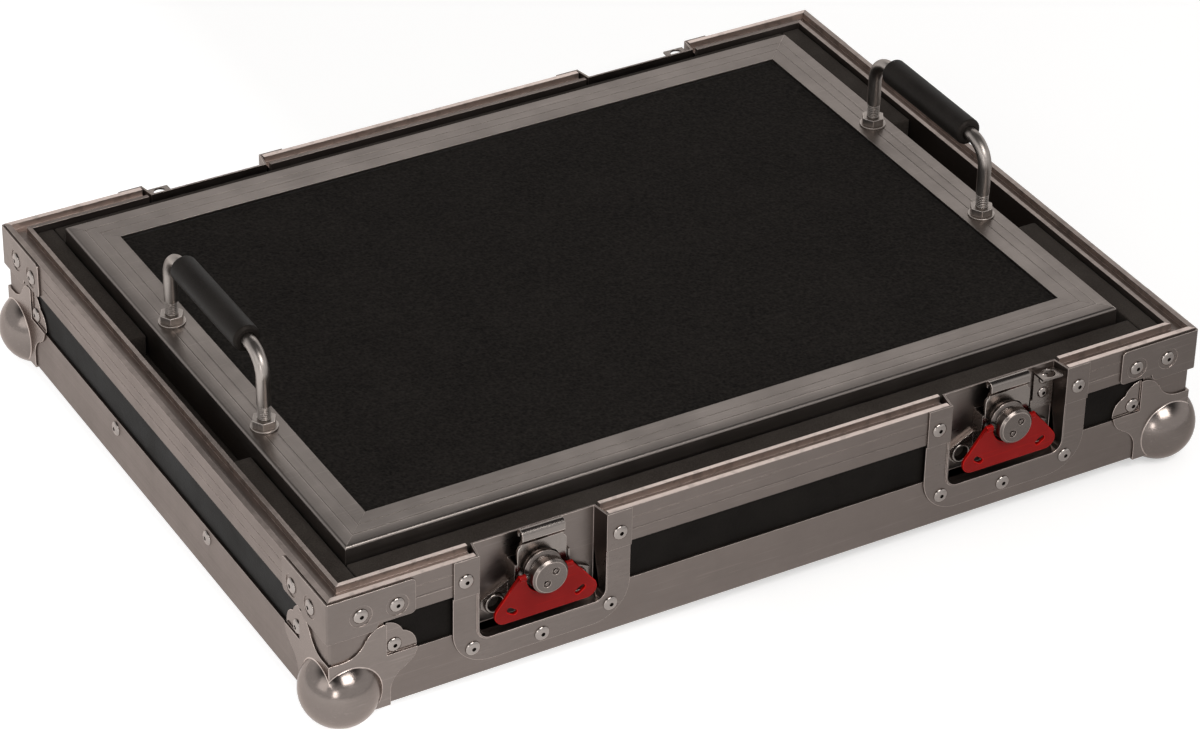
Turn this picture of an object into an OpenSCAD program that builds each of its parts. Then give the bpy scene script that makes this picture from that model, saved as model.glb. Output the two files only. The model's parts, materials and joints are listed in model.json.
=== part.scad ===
// Base tray of a road case for guitar pedals: plywood walls in aluminium extrusions, steel corners,
// two recessed turn latches in front, two recessed dishes behind with eyes for a lift-off lid,
// foam lining, and a lift-out pedal board with two handles.
// Millimetres, +Z up. The origin is under the middle of the case, level with the ball corners' lowest points.

/* [Case] */
// Width over the rim faces
case_w = 573.4; // [540:0.2:700]
// Depth over the rim faces
case_d = 437.4; // [420:0.2:560]
// Height from the outer lip down to the underside of the edge angles
case_h = 81.8; // [80:0.1:110]
// Thickness of the plywood
ply_t = 9; // [8:0.5:9.5]

/* [Extrusions] */
// Wall of the aluminium extrusions
skin_t = 1.5; // [1.2:0.1:1.8]
// How far the rim face stands out from the face of the edge angles
rim_step = 1.2; // [1:0.1:1.6]
// Height of the rim's outer leg
rim_leg_h = 23.2; // [20:0.1:25]
// Depth of the rim's inner leg below the outer lip
rim_inner_h = 17; // [12:0.5:18]
// Width of the rim's outer lip
outer_lip_w = 3.4; // [3:0.1:5]
// Width of the rim's inner lip
inner_lip_w = 2.8; // [2.5:0.1:4]
// Rise of the inner lip above the outer lip
inner_lip_rise = 0.2; // [0.1:0.1:3]
// Depth of the groove between the lips
groove_depth = 4; // [3:0.1:4.5]
// Thickness of the web that carries the groove over the plywood
web_t = 3; // [2:0.1:4]
// Width of the edge angles' legs
edge_leg_w = 32; // [28:0.5:33]
// Width of the upright corner angles' legs
corner_leg_w = 33; // [30:0.5:34]

/* [Ball corners] */
// Radius of the ball
ball_r = 23.5; // [22:0.1:25]
// Distance of the ball's centre behind each of its three faces
ball_inset = 12.5; // [11:0.1:14]
// Thickness of the stamped steel
steel_t = 1.2; // [1:0.05:1.3]
// Radius of each leaf of a flange
leaf_r = 12.5; // [11.5:0.1:13]
// Near distance of a leaf's centre from the corner
leaf_near = 34.5; // [33.5:0.1:35.5]
// Far distance of a leaf's centre from the corner
leaf_far = 42.2; // [41.5:0.1:43]
// Radius of the hollow beside a leaf
wave_r = 16; // [15:0.1:16.5]

/* [Corner braces] */
// Length of a brace leg
brace_l = 53; // [50:0.5:60]
// Height of a brace leg at its end
brace_h = 22.8; // [21:0.1:24]
// Extra height of a brace beside the corner
brace_drop = 4.2; // [2:0.1:5]
// Thickness of a brace
brace_t = 1.3; // [1:0.1:1.6]

/* [Dishes] */
// Distance of each dish's middle from the end of the case
dish_inset = 132.4; // [120:0.1:160]
// Width over a dish's flange
dish_w = 112; // [108:0.5:116]
// Height of the flange's lower edge above the underside
dish_rise = 8.5; // [6:0.1:9]
// Height of the flange below the recess
dish_sill_h = 16; // [14:0.1:17]
// Width of the recess
recess_w = 80; // [78:0.5:84]
// Depth of the recess behind the rim face
recess_depth = 10.5; // [10:0.1:10.5]
// Radius of the flange's lower corners
dish_corner_r = 24; // [18:0.5:26]
// Radius of the recess's lower corners
recess_corner_r = 7; // [5:0.5:9]

/* [Latches] */
// Throw of the hook over half a turn of the knob
hook_throw = 8; // [6:0.1:8]
// Height of the hook's top above the outer lip
hook_top = 5.9; // [5:0.1:7]
// Distance of the knob's axis below the outer lip
knob_drop = 23; // [22.5:0.1:24]
// Distance of the knob's axis from the middle of its dish
knob_offset = 0.2; // [0:0.1:1.4]
// Radius of the knob's head
head_r = 11.2; // [9.5:0.1:11.4]
// Length of the knob's head
head_l = 5.5; // [4.5:0.1:6]
// Half of the wing's width
wing_reach = 32.3; // [30:0.1:33]
// Distance from the knob's axis to the wing's lower edge
wing_drop = 26.7; // [25:0.1:28]
// Thickness of the wing
wing_t = 2; // [1.6:0.1:2.2]

/* [Pedal board] */
// Gap between the board's right end and the lining
board_play = 8.7; // [4:0.1:20]
// Height of the board's face above the outer lip
board_rise = 7; // [5:0.5:12]
// Width of the board's frame bars
bar_w = 25; // [22:0.5:28]
// Height of the board's frame bars
bar_h = 25; // [22:0.5:27]
// Thickness of the frame bars' top flange
bar_t = 3.5; // [3:0.1:4]
// Thickness of the carpet, which fills the frame's opening
carpet_t = 1.5; // [1:0.1:2.5]

/* [Handles] */
// Distance between a handle's feet
foot_gap = 123; // [110:1:140]
// Height of the grip's axis above the board
grip_h = 48; // [40:0.5:55]
// Radius of the handle rod
rod_r = 4.2; // [3.8:0.1:4.5]
// Radius of the rubber grip
grip_r = 8.5; // [7.5:0.1:9.5]
// Length of the rubber grip
grip_l = 86; // [70:1:88]

/* [Foam] */
// Thickness of the lining on the short sides
side_lining_t = 13.5; // [12:0.1:16]
// Thickness of the lining on the long sides
long_lining_t = 18.2; // [14:0.1:24]
// Depth of the lining's top below the outer lip
lining_drop = 3.5; // [1:0.1:6]
// Length of the hand gap in each side lining
hand_gap_l = 140; // [120:1:160]
// Width of the ledge under the board, from the rim face
ledge_w = 59; // [50:1:80]
// Thickness of the floor pad
pad_t = 5; // [3:0.5:10]

/* [Hidden] */
$fn = 48;

// Shared clearances
over = 1;
seat_gap = 0.3;
slip = 0.05;

// Planes of the wall, measured inward from the rim face
wall_face = rim_step + skin_t;
wall_back = wall_face + ply_t;
rim_t = wall_back + skin_t;

// Heights
ball_drop = ball_r - ball_inset;
rim_z = case_h + ball_drop;
floor_z = skin_t + ply_t - case_h;
ply_top = -groove_depth - web_t;

// Fine lines pressed along the extrusions
line_w = 0.5;
line_depth = 0.15;

// Rivets
rivet_head_r = 4.7;
rivet_head_h = 1.9;
rivet_shank_r = 1.6;
rivet_reach = 6.5;
mandrel_r = 1.2;
mandrel_depth = 1.3;
dimple_r = 6.9;
dimple_depth = 0.5;

// Places of the rivets
brace_rivet_near = 19.5;
brace_rivet_far = 41.7;
brace_rivet_drop = 15.2;
band_rivet_at = 62.4;
band_rivet_rise = 25;
ear_rivet_at = 48.5;
ear_rivet_drop = 14.3;
low_rivet_at = 43.7;
low_rivet_rise = 11;
mid_rivet_rise = 5.7;

// Stamped flange of the ball corners
wave_at = 8;
wave_low = leaf_far + leaf_r - wave_r - over;
step_near = corner_leg_w + rim_step + seat_gap;
step_low = edge_leg_w + seat_gap;
ball_rivet_at = step_near + steel_t + rivet_head_r + seat_gap;
ball_rivet_rise = step_low + steel_t + rivet_head_r + seat_gap;

// Corner brace outline
brace_top = 1.05;
brace_corner_r = 3;
brace_step_at = 30;

// Dish details
dish_h = case_h - dish_rise;
recess_h = dish_h - dish_sill_h;
low_rivet_drop = dish_h - low_rivet_rise;
mid_rivet_drop = dish_h - mid_rivet_rise;
recess_taper = 2;
floor_taper = 2.4;
ear_joggle = 1.5;
notch_gap = 0.3;
notch_w = recess_w + 2 * steel_t + 2 * notch_gap;
notch_h = recess_h + steel_t + notch_gap;

// Eye brackets
eye_w = 14;
eye_side_gap = 0.4;
eye_at = recess_w / 2 - recess_taper - eye_w / 2 - eye_side_gap;
eye_t = 1.5;
eye_drop = 3.2;
eye_h = 26;
eye_bore_r = 4;
eye_bore_depth = 5;
eye_rivets_drop = [9.2, 19];
eye_rivet_head_r = 3.7;
eye_rivet_head_h = 1.5;

// Latch: planes inward from the rim face, heights from the knob's axis
base_t = 1.6;
base_y = recess_depth - base_t;
hook_y = 1.2;
hook_t = 2;
hook_w = 31;
claw_w = 27;
claw_out = 2;
claw_r = 3.2;
claw_lip = 2;
bend_low = 3.4;
bend_high = 0.4;
shoulder_r = 4;
plate_low = 38;
wing_gap = 2;
wing_y = -wing_gap - wing_t;
pin_y = wing_y + wing_t / 2;
pin_r = 1.1;
pin_end = 0.9;
knuckle_r = 1.9;
knuckle_l = 4;
tip_r = 6.5;
wing_hole_at = 21.6;
wing_hole_drop = 19.3;
wing_hole_r = 1.7;
wing_hole_l = 3.6;
wing_hole_turn = 35;
head_y = wing_y - head_l - seat_gap;
head_chamfer = 1.4;
neck_r = 9.2;
ring_r = 9.9;
ring_w = 0.8;
collar_r = 11.8;
collar_y = -1.4;
collar_back = hook_y - seat_gap;
head_reach = max(norm([pin_y - head_y - head_chamfer, head_r]), norm([pin_y - head_y, head_r - head_chamfer]),
                 norm([collar_back - pin_y, collar_r]));
notch_r = head_reach + seat_gap;
pin_l = 2 * (notch_r + knuckle_l - pin_end);
throw_r = hook_throw / 2;
shaft_r = 3;
cam_r = 5.5;
cam_slip = 0.27;
cam_drift_share = 0.2105;
window_r = cam_r + cam_drift_share * throw_r + cam_slip;
spanner_r = 2.3;
spanner_core_r = 1.1;
spanner_depth = 1.4;
spanner_at = 4.4;
spanner_turn = 38;
channel_t = 1.5;
channel_gap = 0.4;
channel_front = 0.8;
channel_high = 15.8;
channel_low = 46;
base_high = 15;
base_rise = 7.3;
base_low = recess_h - base_rise;
ear_at = 26;
ear_rise = 7;
ear_drop = base_low - ear_rise;
ear_out = 8.3;
ear_top = 12.7;
ear_slope = 0.49;
ear_cut = 5;
ear_rib_w = 1;
ear_rib_t = 0.8;
eyelet_r = 6.4;
eyelet_lip_r = 0.95;
eyelet_wall = 0.4;
eyelet_bore_r = eyelet_r - 2 * eyelet_lip_r;
eyelet_tube_r = eyelet_bore_r + eyelet_wall;

// Pedal board, heights from the outer lip
leg_t = 2;
bar_round = 2;
bar_line_at = [9, 16];
board_w = case_w - 2 * (rim_t + side_lining_t) - seat_gap - board_play;
board_d = case_d - 2 * (rim_t + long_lining_t + seat_gap);
board_cx = -case_w / 2 + rim_t + side_lining_t + seat_gap + board_w / 2;
panel_top = board_rise - bar_t;
carpet_top = panel_top + carpet_t;
ledge_top = board_rise - bar_h - seat_gap;

// Handles
bend_r = 15;
thread_r = 3.6;
thread_rise = 15;
nut_flats = 13;
nut_h = 5;
washer_r = 8.2;
washer_t = 1.2;
rod_end = 1.5;
grip_round = 1.5;

// Colours
aluminium = "#8f8984";
steel = "#9a9794";
black_laminate = "#1e1b19";
foam_black = "#2b2826";
carpet_black = "#24211f";
rubber_black = "#222120";
zinc = "#a6a49f";
wing_red = "#a01c18";

// Length of a side: 0 front, 1 right, 2 back, 3 left
function side_len(side) = side % 2 == 0 ? case_w : case_d;

// Point where a line from p touches a circle round c
function touch(p, c, r, turn) =
    let (back = p - c, a = atan2(back[1], back[0]) + turn * acos(r / norm(back)))
    c + r * [cos(a), sin(a)];

// Puts children on a side: x along it, y inward from the rim face, z up from the outer lip
module on_side(side, along = 0)
    rotate([0, 0, 90 * side])
        translate([along, -side_len(side + 1) / 2, rim_z])
            children();

// Puts children at a corner: x and y run along its two sides, z up from the underside
module at_corner(corner)
    rotate([0, 0, 90 * corner])
        translate([-side_len(corner) / 2, -side_len(corner + 1) / 2, ball_drop])
            children();

// Extrudes a (y, z) profile along x
module along_x(length)
    rotate([90, 0, 90])
        linear_extrude(height = length, center = true)
            children();

// Extrudes an (x, z) outline inward from the plane y
module plate(y, thickness)
    translate([0, y + thickness, 0])
        rotate([90, 0, 0])
            linear_extrude(height = thickness)
                children();

// Cylinder whose axis runs inward from the plane y
module spindle(y, length, radius)
    translate([0, y + length, 0])
        rotate([90, 0, 0])
            cylinder(h = length, r = radius);

// Keeps a bar of this side between 45 degree mitres
module mitred(length, depth, low, high)
    intersection() {
        children();
        translate([0, 0, low])
            linear_extrude(height = high - low)
                polygon([[-length / 2, 0], [length / 2, 0],
                         [length / 2 - depth, depth], [-length / 2 + depth, depth]]);
    }

// Rectangle with two round lower corners
module round_bottom(width, top, bottom, radius) {
    translate([-width / 2, bottom + radius])
        square([width, top - bottom - radius]);
    translate([-width / 2 + radius, bottom])
        square([width - 2 * radius, radius]);
    for (side = [-1, 1])
        translate([side * (width / 2 - radius), bottom + radius])
            circle(r = radius);
}

// Rivets

module rivet(shank, head = rivet_head_r, rise = rivet_head_h)
    difference() {
        union() {
            intersection() {
                dome_r = (head * head + rise * rise) / (2 * rise);
                translate([0, 0, rise - dome_r])
                    sphere(r = dome_r);
                cylinder(h = rise, r = head);
            }
            translate([0, 0, -shank])
                cylinder(h = shank + rise / 2, r = rivet_shank_r);
        }
        translate([0, 0, rise - mandrel_depth])
            cylinder(h = mandrel_depth + over, r = mandrel_r);
    }

module rivet_on(x, y, z)
    translate([x, y, z])
        rotate([90, 0, 0])
            rivet(rivet_reach - y);

module rivet_bore(x, z)
    translate([x, 0, z])
        spindle(-rivet_reach, 2 * rivet_reach + seat_gap, rivet_shank_r + slip);

function dish_rivet_places() = [
    [-ear_rivet_at, -ear_rivet_drop], [ear_rivet_at, -ear_rivet_drop],
    [-low_rivet_at, -low_rivet_drop], [low_rivet_at, -low_rivet_drop], [0, -mid_rivet_drop]];

module dish_bores()
    for (place = dish_rivet_places())
        rivet_bore(place[0], place[1]);

// Every rivet bore that a side's walls and extrusions carry
module side_bores(side) {
    half = side_len(side) / 2;
    for (end = [-1, 1]) {
        for (at = [brace_rivet_near, brace_rivet_far])
            rivet_bore(end * (half - at), -brace_rivet_drop);
        rivet_bore(end * (half - ball_rivet_at), ball_rivet_rise - case_h);
        if (side % 2 == 0)
            translate([end * (half - dish_inset), 0, 0])
                dish_bores();
        else
            rivet_bore(end * band_rivet_at, band_rivet_rise - case_h);
    }
}

// Room that a dish's recess takes out of a long side
module dish_notches(side)
    if (side % 2 == 0)
        for (end = [-1, 1])
            translate([end * (case_w / 2 - dish_inset) - notch_w / 2, -over, -notch_h])
                cube([notch_w, rim_t + 2 * over, case_h]);

// Plywood

module bottom_panel()
    color(black_laminate)
        difference() {
            translate([-case_w / 2 + wall_face, -case_d / 2 + wall_face, ball_drop + skin_t])
                cube([case_w - 2 * wall_face, case_d - 2 * wall_face, ply_t]);
            for (corner = [0:3])
                at_corner(corner)
                    translate([ball_rivet_at, ball_rivet_at, -over])
                        cylinder(h = rivet_reach + over + seat_gap, r = rivet_shank_r + slip);
        }

module wall(side) {
    inset = side % 2 == 0 ? wall_face : wall_back;
    length = side_len(side) - 2 * inset;
    color(black_laminate)
        on_side(side)
            difference() {
                translate([-length / 2, wall_face, floor_z])
                    cube([length, ply_t, ply_top - floor_z]);
                dish_notches(side);
                side_bores(side);
            }
}

// Aluminium extrusions

module rim_profile() {
    groove_end = rim_t - inner_lip_w;
    difference() {
        union() {
            translate([0, -rim_leg_h])
                square([wall_face, rim_leg_h]);
            translate([0, ply_top])
                square([rim_t, web_t]);
            translate([0, ply_top])
                square([outer_lip_w, -ply_top]);
            translate([groove_end, ply_top])
                square([inner_lip_w, inner_lip_rise - ply_top]);
            translate([wall_back, -rim_inner_h])
                square([skin_t, rim_inner_h]);
        }
        for (third = [1, 2])
            translate([-over, -third * rim_leg_h / 3 - line_w / 2])
                square([over + line_depth, line_w]);
    }
}

module rim(side)
    color(aluminium)
        on_side(side)
            difference() {
                mitred(side_len(side), rim_t, -rim_leg_h, inner_lip_rise)
                    along_x(side_len(side))
                        rim_profile();
                dish_notches(side);
                side_bores(side);
            }

module edge_profile() {
    translate([rim_step, -case_h])
        square([skin_t, edge_leg_w]);
    translate([rim_step, -case_h])
        square([edge_leg_w, skin_t]);
}

module edge(side)
    color(aluminium)
        on_side(side)
            difference() {
                mitred(side_len(side), edge_leg_w + rim_step, -case_h, edge_leg_w - case_h)
                    along_x(side_len(side))
                        edge_profile();
                dish_notches(side);
                side_bores(side);
            }

module corner_angles()
    color(aluminium)
        for (corner = [0:3])
            at_corner(corner)
                translate([0, 0, edge_leg_w])
                    linear_extrude(height = case_h - rim_leg_h - edge_leg_w)
                        corner_profile();

module corner_profile()
    difference() {
        union() {
            translate([rim_step, wall_face])
                square([skin_t, corner_leg_w - skin_t]);
            translate([wall_face, rim_step])
                square([corner_leg_w - skin_t, skin_t]);
            translate([wall_face, wall_face])
                circle(r = skin_t);
        }
        translate([wall_face, wall_face])
            square(corner_leg_w);
    }

// Corner hardware

module brace_outline() {
    low = -brace_top - brace_h;
    difference() {
        union() {
            translate([0, low])
                square([brace_l, brace_h]);
            translate([0, low - brace_drop])
                square([brace_step_at, brace_drop]);
        }
        for (end = [[low, 0], [-brace_top, 1]])
            translate([brace_l, end[0]])
                corner_cut(brace_corner_r, end[1]);
        translate([brace_step_at, low - brace_drop])
            corner_cut(brace_drop, 0);
    }
}

// What a rounded corner leaves out, below or above it
module corner_cut(radius, above)
    mirror([0, above])
        difference() {
            translate([-radius, -over])
                square([radius + over, radius + over]);
            translate([-radius, radius])
                circle(r = radius);
        }

module brace_leg()
    difference() {
        plate(-brace_t, brace_t)
            brace_outline();
        for (at = [brace_rivet_near, brace_rivet_far])
            translate([at, 0, -brace_rivet_drop]) {
                spindle(-brace_t - over, over + dimple_depth, dimple_r);
                spindle(-brace_t - over, brace_t + 2 * over, rivet_shank_r + slip);
            }
    }

module corner_braces()
    color(steel)
        for (corner = [0:3])
            at_corner(corner)
                translate([0, 0, case_h])
                    difference() {
                        union() {
                            brace_leg();
                            mirror([1, -1, 0])
                                brace_leg();
                            translate([0, 0, -brace_top - brace_h - brace_drop])
                                cylinder(h = brace_h + brace_drop, r = brace_t);
                        }
                        translate([0, 0, -case_h])
                            cube([brace_l, brace_l, case_h]);
                    }

module brace_rivets()
    color(zinc)
        for (side = [0:3], end = [-1, 1], at = [brace_rivet_near, brace_rivet_far])
            on_side(side)
                rivet_on(end * (side_len(side) / 2 - at), dimple_depth - brace_t, -brace_rivet_drop);

// Outline of a ball corner's flange: two leaves that meet on the diagonal
module leaf_outline()
    difference() {
        union() {
            translate([leaf_near, leaf_far])
                circle(r = leaf_r);
            translate([leaf_far, leaf_near])
                circle(r = leaf_r);
            polygon([[0, 0], [0, wave_low], [wave_at, wave_low], [leaf_near - leaf_r, leaf_far + leaf_r / 2],
                     [leaf_near, leaf_far], [leaf_far, leaf_near], [leaf_far + leaf_r / 2, leaf_near - leaf_r],
                     [wave_low, wave_at], [wave_low, 0]]);
        }
        translate([wave_at, wave_low + wave_r])
            circle(r = wave_r);
        translate([wave_low + wave_r, wave_at])
            circle(r = wave_r);
    }

module step_quadrant(reach)
    translate([step_near - reach, step_low - reach])
        square(2 * leaf_far);

// The flange lies on the angles and steps down to the laminate beyond them
module ball_flange() {
    plate(rim_step - steel_t, steel_t)
        difference() {
            leaf_outline();
            step_quadrant(0);
        }
    plate(wall_face - steel_t, steel_t)
        intersection() {
            leaf_outline();
            step_quadrant(0);
        }
    plate(rim_step - steel_t, skin_t + steel_t)
        intersection() {
            leaf_outline();
            difference() {
                step_quadrant(0);
                step_quadrant(-steel_t);
            }
        }
}

module ball_corner() {
    centre = [ball_inset, ball_inset, ball_inset];
    difference() {
        translate(centre)
            sphere(r = ball_r);
        translate(centre)
            sphere(r = ball_r - steel_t);
        translate([rim_step, rim_step, 0])
            cube(2 * ball_r);
    }
    difference() {
        union() {
            ball_flange();
            mirror([1, -1, 0])
                ball_flange();
            translate([0, 0, -steel_t])
                linear_extrude(height = steel_t)
                    leaf_outline();
        }
        translate(centre)
            sphere(r = ball_r - steel_t);
        for (turn = [0, 1])
            mirror([turn, -turn, 0])
                translate([ball_rivet_at, 0, ball_rivet_rise])
                    spindle(-over, wall_face + 2 * over, rivet_shank_r + slip);
        translate([ball_rivet_at, ball_rivet_at, -steel_t - over])
            cylinder(h = steel_t + 2 * over, r = rivet_shank_r + slip);
    }
}

module ball_corners()
    color(steel)
        for (corner = [0:3])
            at_corner(corner)
                ball_corner();

module ball_rivets()
    color(zinc) {
        for (side = [0:3], end = [-1, 1])
            on_side(side)
                rivet_on(end * (side_len(side) / 2 - ball_rivet_at), wall_face - steel_t,
                         ball_rivet_rise - case_h);
        for (corner = [0:3])
            at_corner(corner)
                translate([ball_rivet_at, ball_rivet_at, -steel_t])
                    rotate([180, 0, 0])
                        rivet(rivet_reach);
    }

module band_rivets()
    color(zinc)
        for (side = [1, 3], end = [-1, 1])
            on_side(side)
                rivet_on(end * band_rivet_at, rim_step, band_rivet_rise - case_h);

// Dishes

// The space of a recess, grown by a wall, with its top sloping up to the back
module recess(grow, front_top, back_top) {
    half = recess_w / 2 + grow;
    back = recess_depth + grow;
    low = -recess_h - grow;
    intersection() {
        plate(-over, back + over)
            round_bottom(2 * half, back_top, low, recess_corner_r + grow);
        translate([0, 0, low])
            linear_extrude(height = back_top - low)
                polygon([[-half, -over], [half, -over], [half, 0], [half - recess_taper, back],
                         [recess_taper - half, back], [-half, 0]]);
        along_x(2 * half)
            polygon([[-over, low], [0, low], [back, low + floor_taper], [back, back_top],
                     [0, front_top], [-over, front_top]]);
    }
}

module dish_body() {
    ear_low = -rim_leg_h - notch_gap;
    difference() {
        union() {
            plate(rim_step - steel_t, steel_t)
                round_bottom(dish_w, ear_low, -dish_h, dish_corner_r);
            for (end = [-1, 1]) {
                ear_x = end > 0 ? recess_w / 2 : -dish_w / 2;
                ear_w = (dish_w - recess_w) / 2;
                translate([ear_x, -steel_t, ear_low - ear_joggle])
                    cube([ear_w, steel_t, -ear_low + ear_joggle]);
                translate([ear_x, -steel_t, ear_low - ear_joggle])
                    cube([ear_w, steel_t + rim_step, ear_joggle]);
            }
            intersection() {
                recess(steel_t, 0, inner_lip_rise);
                translate([-dish_w / 2, -steel_t, -dish_h])
                    cube([dish_w, rim_t + steel_t, dish_h + rim_leg_h]);
            }
        }
        recess(0, inner_lip_rise + over, inner_lip_rise + over);
        dish_bores();
    }
}

// A dish at one end of a long side, with the bores of what is riveted inside it
module dish(side, end, latched, eyed)
    color(steel)
        on_side(side, end * (case_w / 2 - dish_inset))
            difference() {
                dish_body();
                if (latched)
                    translate([knob_offset, 0, 0])
                        eyelet_places()
                            spindle(base_y - over, rim_t, eyelet_tube_r + slip);
                if (eyed)
                    translate([end * eye_at, 0, 0])
                        eye_bores();
            }

module dish_rivets()
    color(zinc)
        for (side = [0, 2], end = [-1, 1], place = dish_rivet_places())
            on_side(side, end * (case_w / 2 - dish_inset))
                rivet_on(place[0], place[1] > -rim_leg_h ? -steel_t : rim_step - steel_t, place[1]);

// Eye brackets, riveted to the back of a recess

module eye_bores()
    for (drop = eye_rivets_drop)
        translate([0, 0, -drop])
            spindle(recess_depth - eye_t - over, rim_t, rivet_shank_r + slip);

module eye(side, end)
    color(steel)
        on_side(side, end * (case_w / 2 - dish_inset + eye_at))
            difference() {
                union() {
                    translate([-eye_w / 2, recess_depth - eye_t, -eye_drop - eye_h])
                        cube([eye_w, eye_t, eye_h]);
                    translate([-eye_w / 2, 0, -eye_drop - eye_t])
                        cube([eye_w, recess_depth, eye_t]);
                }
                translate([0, eye_bore_depth, -eye_drop - eye_t - over])
                    cylinder(h = eye_t + 2 * over, r = eye_bore_r);
                eye_bores();
            }

module eye_rivets()
    color(zinc)
        for (place = [[0, 1], [2, -1], [2, 1]])
            on_side(place[0], place[1] * (case_w / 2 - dish_inset + eye_at))
                for (drop = eye_rivets_drop)
                    translate([0, recess_depth - eye_t, -drop])
                        rotate([90, 0, 0])
                            rivet(eye_t + steel_t, eye_rivet_head_r, eye_rivet_head_h);

// Latches: each stands on its knob's axis

module on_latch(end)
    on_side(0, end * (case_w / 2 - dish_inset) + knob_offset)
        children();

module eyelet_places()
    for (end = [-1, 1])
        translate([end * ear_at, 0, -ear_drop])
            children();

module base_plate(end)
    color(zinc)
        on_latch(end)
            difference() {
                union() {
                    plate(base_y, base_t)
                        base_outline();
                    ear_ribs();
                    for (way = [-1, 1])
                        translate([way * (hook_w / 2 + channel_gap + channel_t / 2) - channel_t / 2,
                                   channel_front, -channel_low])
                            cube([channel_t, base_y - channel_front, channel_low - channel_high]);
                }
                translate([0, 0, -knob_drop])
                    spindle(channel_front, rim_t, shaft_r + slip);
                eyelet_places()
                    spindle(channel_front, rim_t, eyelet_tube_r + slip);
            }

// Outline with an ear on each side that slopes down from the channel
module base_outline() {
    half = hook_w / 2 + channel_gap + channel_t;
    tip = ear_at + ear_out;
    shoulder = ear_top - ear_slope * (tip - half);
    polygon([[-half, -base_high], [-half, ear_top - ear_drop], [-tip, shoulder - ear_drop],
             [-tip, ear_cut - base_low], [ear_cut - tip, -base_low], [tip - ear_cut, -base_low],
             [tip, ear_cut - base_low], [tip, shoulder - ear_drop], [half, ear_top - ear_drop], [half, -base_high]]);
}

// Narrow rib pressed up along the sloping edge of each ear
module ear_ribs() {
    half = hook_w / 2 + channel_gap + channel_t;
    tip = ear_at + ear_out;
    for (way = [-1, 1])
        plate(base_y - ear_rib_t, ear_rib_t + base_t / 2)
            polygon([[way * half, ear_top - ear_drop], [way * tip, ear_top - ear_slope * (tip - half) - ear_drop],
                     [way * tip, ear_top - ear_slope * (tip - half) - ear_drop - ear_rib_w],
                     [way * half, ear_top - ear_drop - ear_rib_w]]);
}

module latch_eyelets()
    color(steel)
        for (end = [-1, 1])
            on_latch(end)
                eyelet_places()
                    translate([0, base_y, 0])
                        rotate([90, 0, 0])
                            rotate_extrude()
                                eyelet_profile();

// Half section of an eyelet: a tube with a rolled lip
module eyelet_profile() {
    translate([eyelet_bore_r, -base_t - steel_t])
        square([eyelet_wall, base_t + steel_t + eyelet_lip_r]);
    translate([eyelet_bore_r + eyelet_lip_r, eyelet_lip_r])
        circle(r = eyelet_lip_r);
    translate([eyelet_bore_r, 0])
        square([2 * eyelet_lip_r, eyelet_lip_r]);
}

module knob(end)
    color(steel)
        on_latch(end)
            translate([0, 0, -knob_drop])
                difference() {
                    union() {
                        translate([0, head_y + head_chamfer, 0])
                            rotate([90, 0, 0])
                                cylinder(h = head_chamfer, r1 = head_r, r2 = head_r - head_chamfer);
                        spindle(head_y + head_chamfer, head_l - head_chamfer, head_r);
                        spindle(head_y + head_l - over, collar_back - head_y - head_l + over, neck_r);
                        spindle(collar_y - ring_w, ring_w, ring_r);
                        translate([0, collar_back - ring_w, 0])
                            rotate([90, 0, 0])
                                cylinder(h = collar_back - ring_w - collar_y, r1 = collar_r, r2 = neck_r);
                        spindle(collar_back - ring_w, ring_w, collar_r);
                        translate([0, 0, throw_r])
                            spindle(collar_y + over, hook_y + hook_t + seat_gap - collar_y - over, cam_r);
                        spindle(hook_y + hook_t + slip, recess_depth - hook_y - hook_t - slip - seat_gap,
                                shaft_r);
                    }
                    translate([-pin_l / 2, pin_y, 0])
                        rotate([0, 90, 0])
                            cylinder(h = pin_l, r = pin_r + slip / 2);
                    for (end = [0, 180])
                        rotate([0, end + spanner_turn, 0])
                            translate([0, 0, spanner_at])
                                spanner_hole();
                }

// Two ring grooves for a pin spanner, one on each side of the axis
module spanner_hole()
    difference() {
        spindle(head_y - over, spanner_depth + over, spanner_r);
        spindle(head_y - over, spanner_depth + 2 * over, spanner_core_r);
    }

module pin(end)
    color(zinc)
        on_latch(end)
            translate([-pin_l / 2, pin_y, -knob_drop])
                rotate([0, 90, 0])
                    cylinder(h = pin_l, r = pin_r);

module wing_outline() {
    tip = [wing_reach - tip_r, tip_r - wing_drop];
    horn = [notch_r + knuckle_l, knuckle_r];
    edge = touch(horn, tip, tip_r, -1);
    difference() {
        union() {
            for (way = [-1, 1])
                translate([way * tip[0], tip[1]])
                    circle(r = tip_r);
            polygon([[-tip[0], -wing_drop], [tip[0], -wing_drop], tip, edge, horn,
                     [-horn[0], horn[1]], [-edge[0], edge[1]], [-tip[0], tip[1]]]);
        }
        circle(r = notch_r);
        translate([-notch_r, 0])
            square([2 * notch_r, notch_r]);
        for (way = [-1, 1])
            translate([way * wing_hole_at, -wing_hole_drop])
                rotate(way * wing_hole_turn)
                    oval_hole();
    }
}

module oval_hole() {
    for (end = [-1, 1])
        translate([end * wing_hole_l / 2, 0])
            circle(r = wing_hole_r);
    square([wing_hole_l, 2 * wing_hole_r], center = true);
}

module wing(end)
    color(wing_red)
        on_latch(end)
            translate([0, 0, -knob_drop])
                difference() {
                    union() {
                        plate(wing_y, wing_t)
                            wing_outline();
                        for (way = [-1, 1])
                            translate([way * (notch_r + knuckle_l / 2), pin_y, 0])
                                rotate([0, 90, 0])
                                    cylinder(h = knuckle_l, r = knuckle_r, center = true);
                    }
                    translate([0, pin_y, 0])
                        rotate([0, 90, 0])
                            cylinder(h = 2 * (notch_r + knuckle_l), r = pin_r + slip, center = true);
                }

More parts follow.
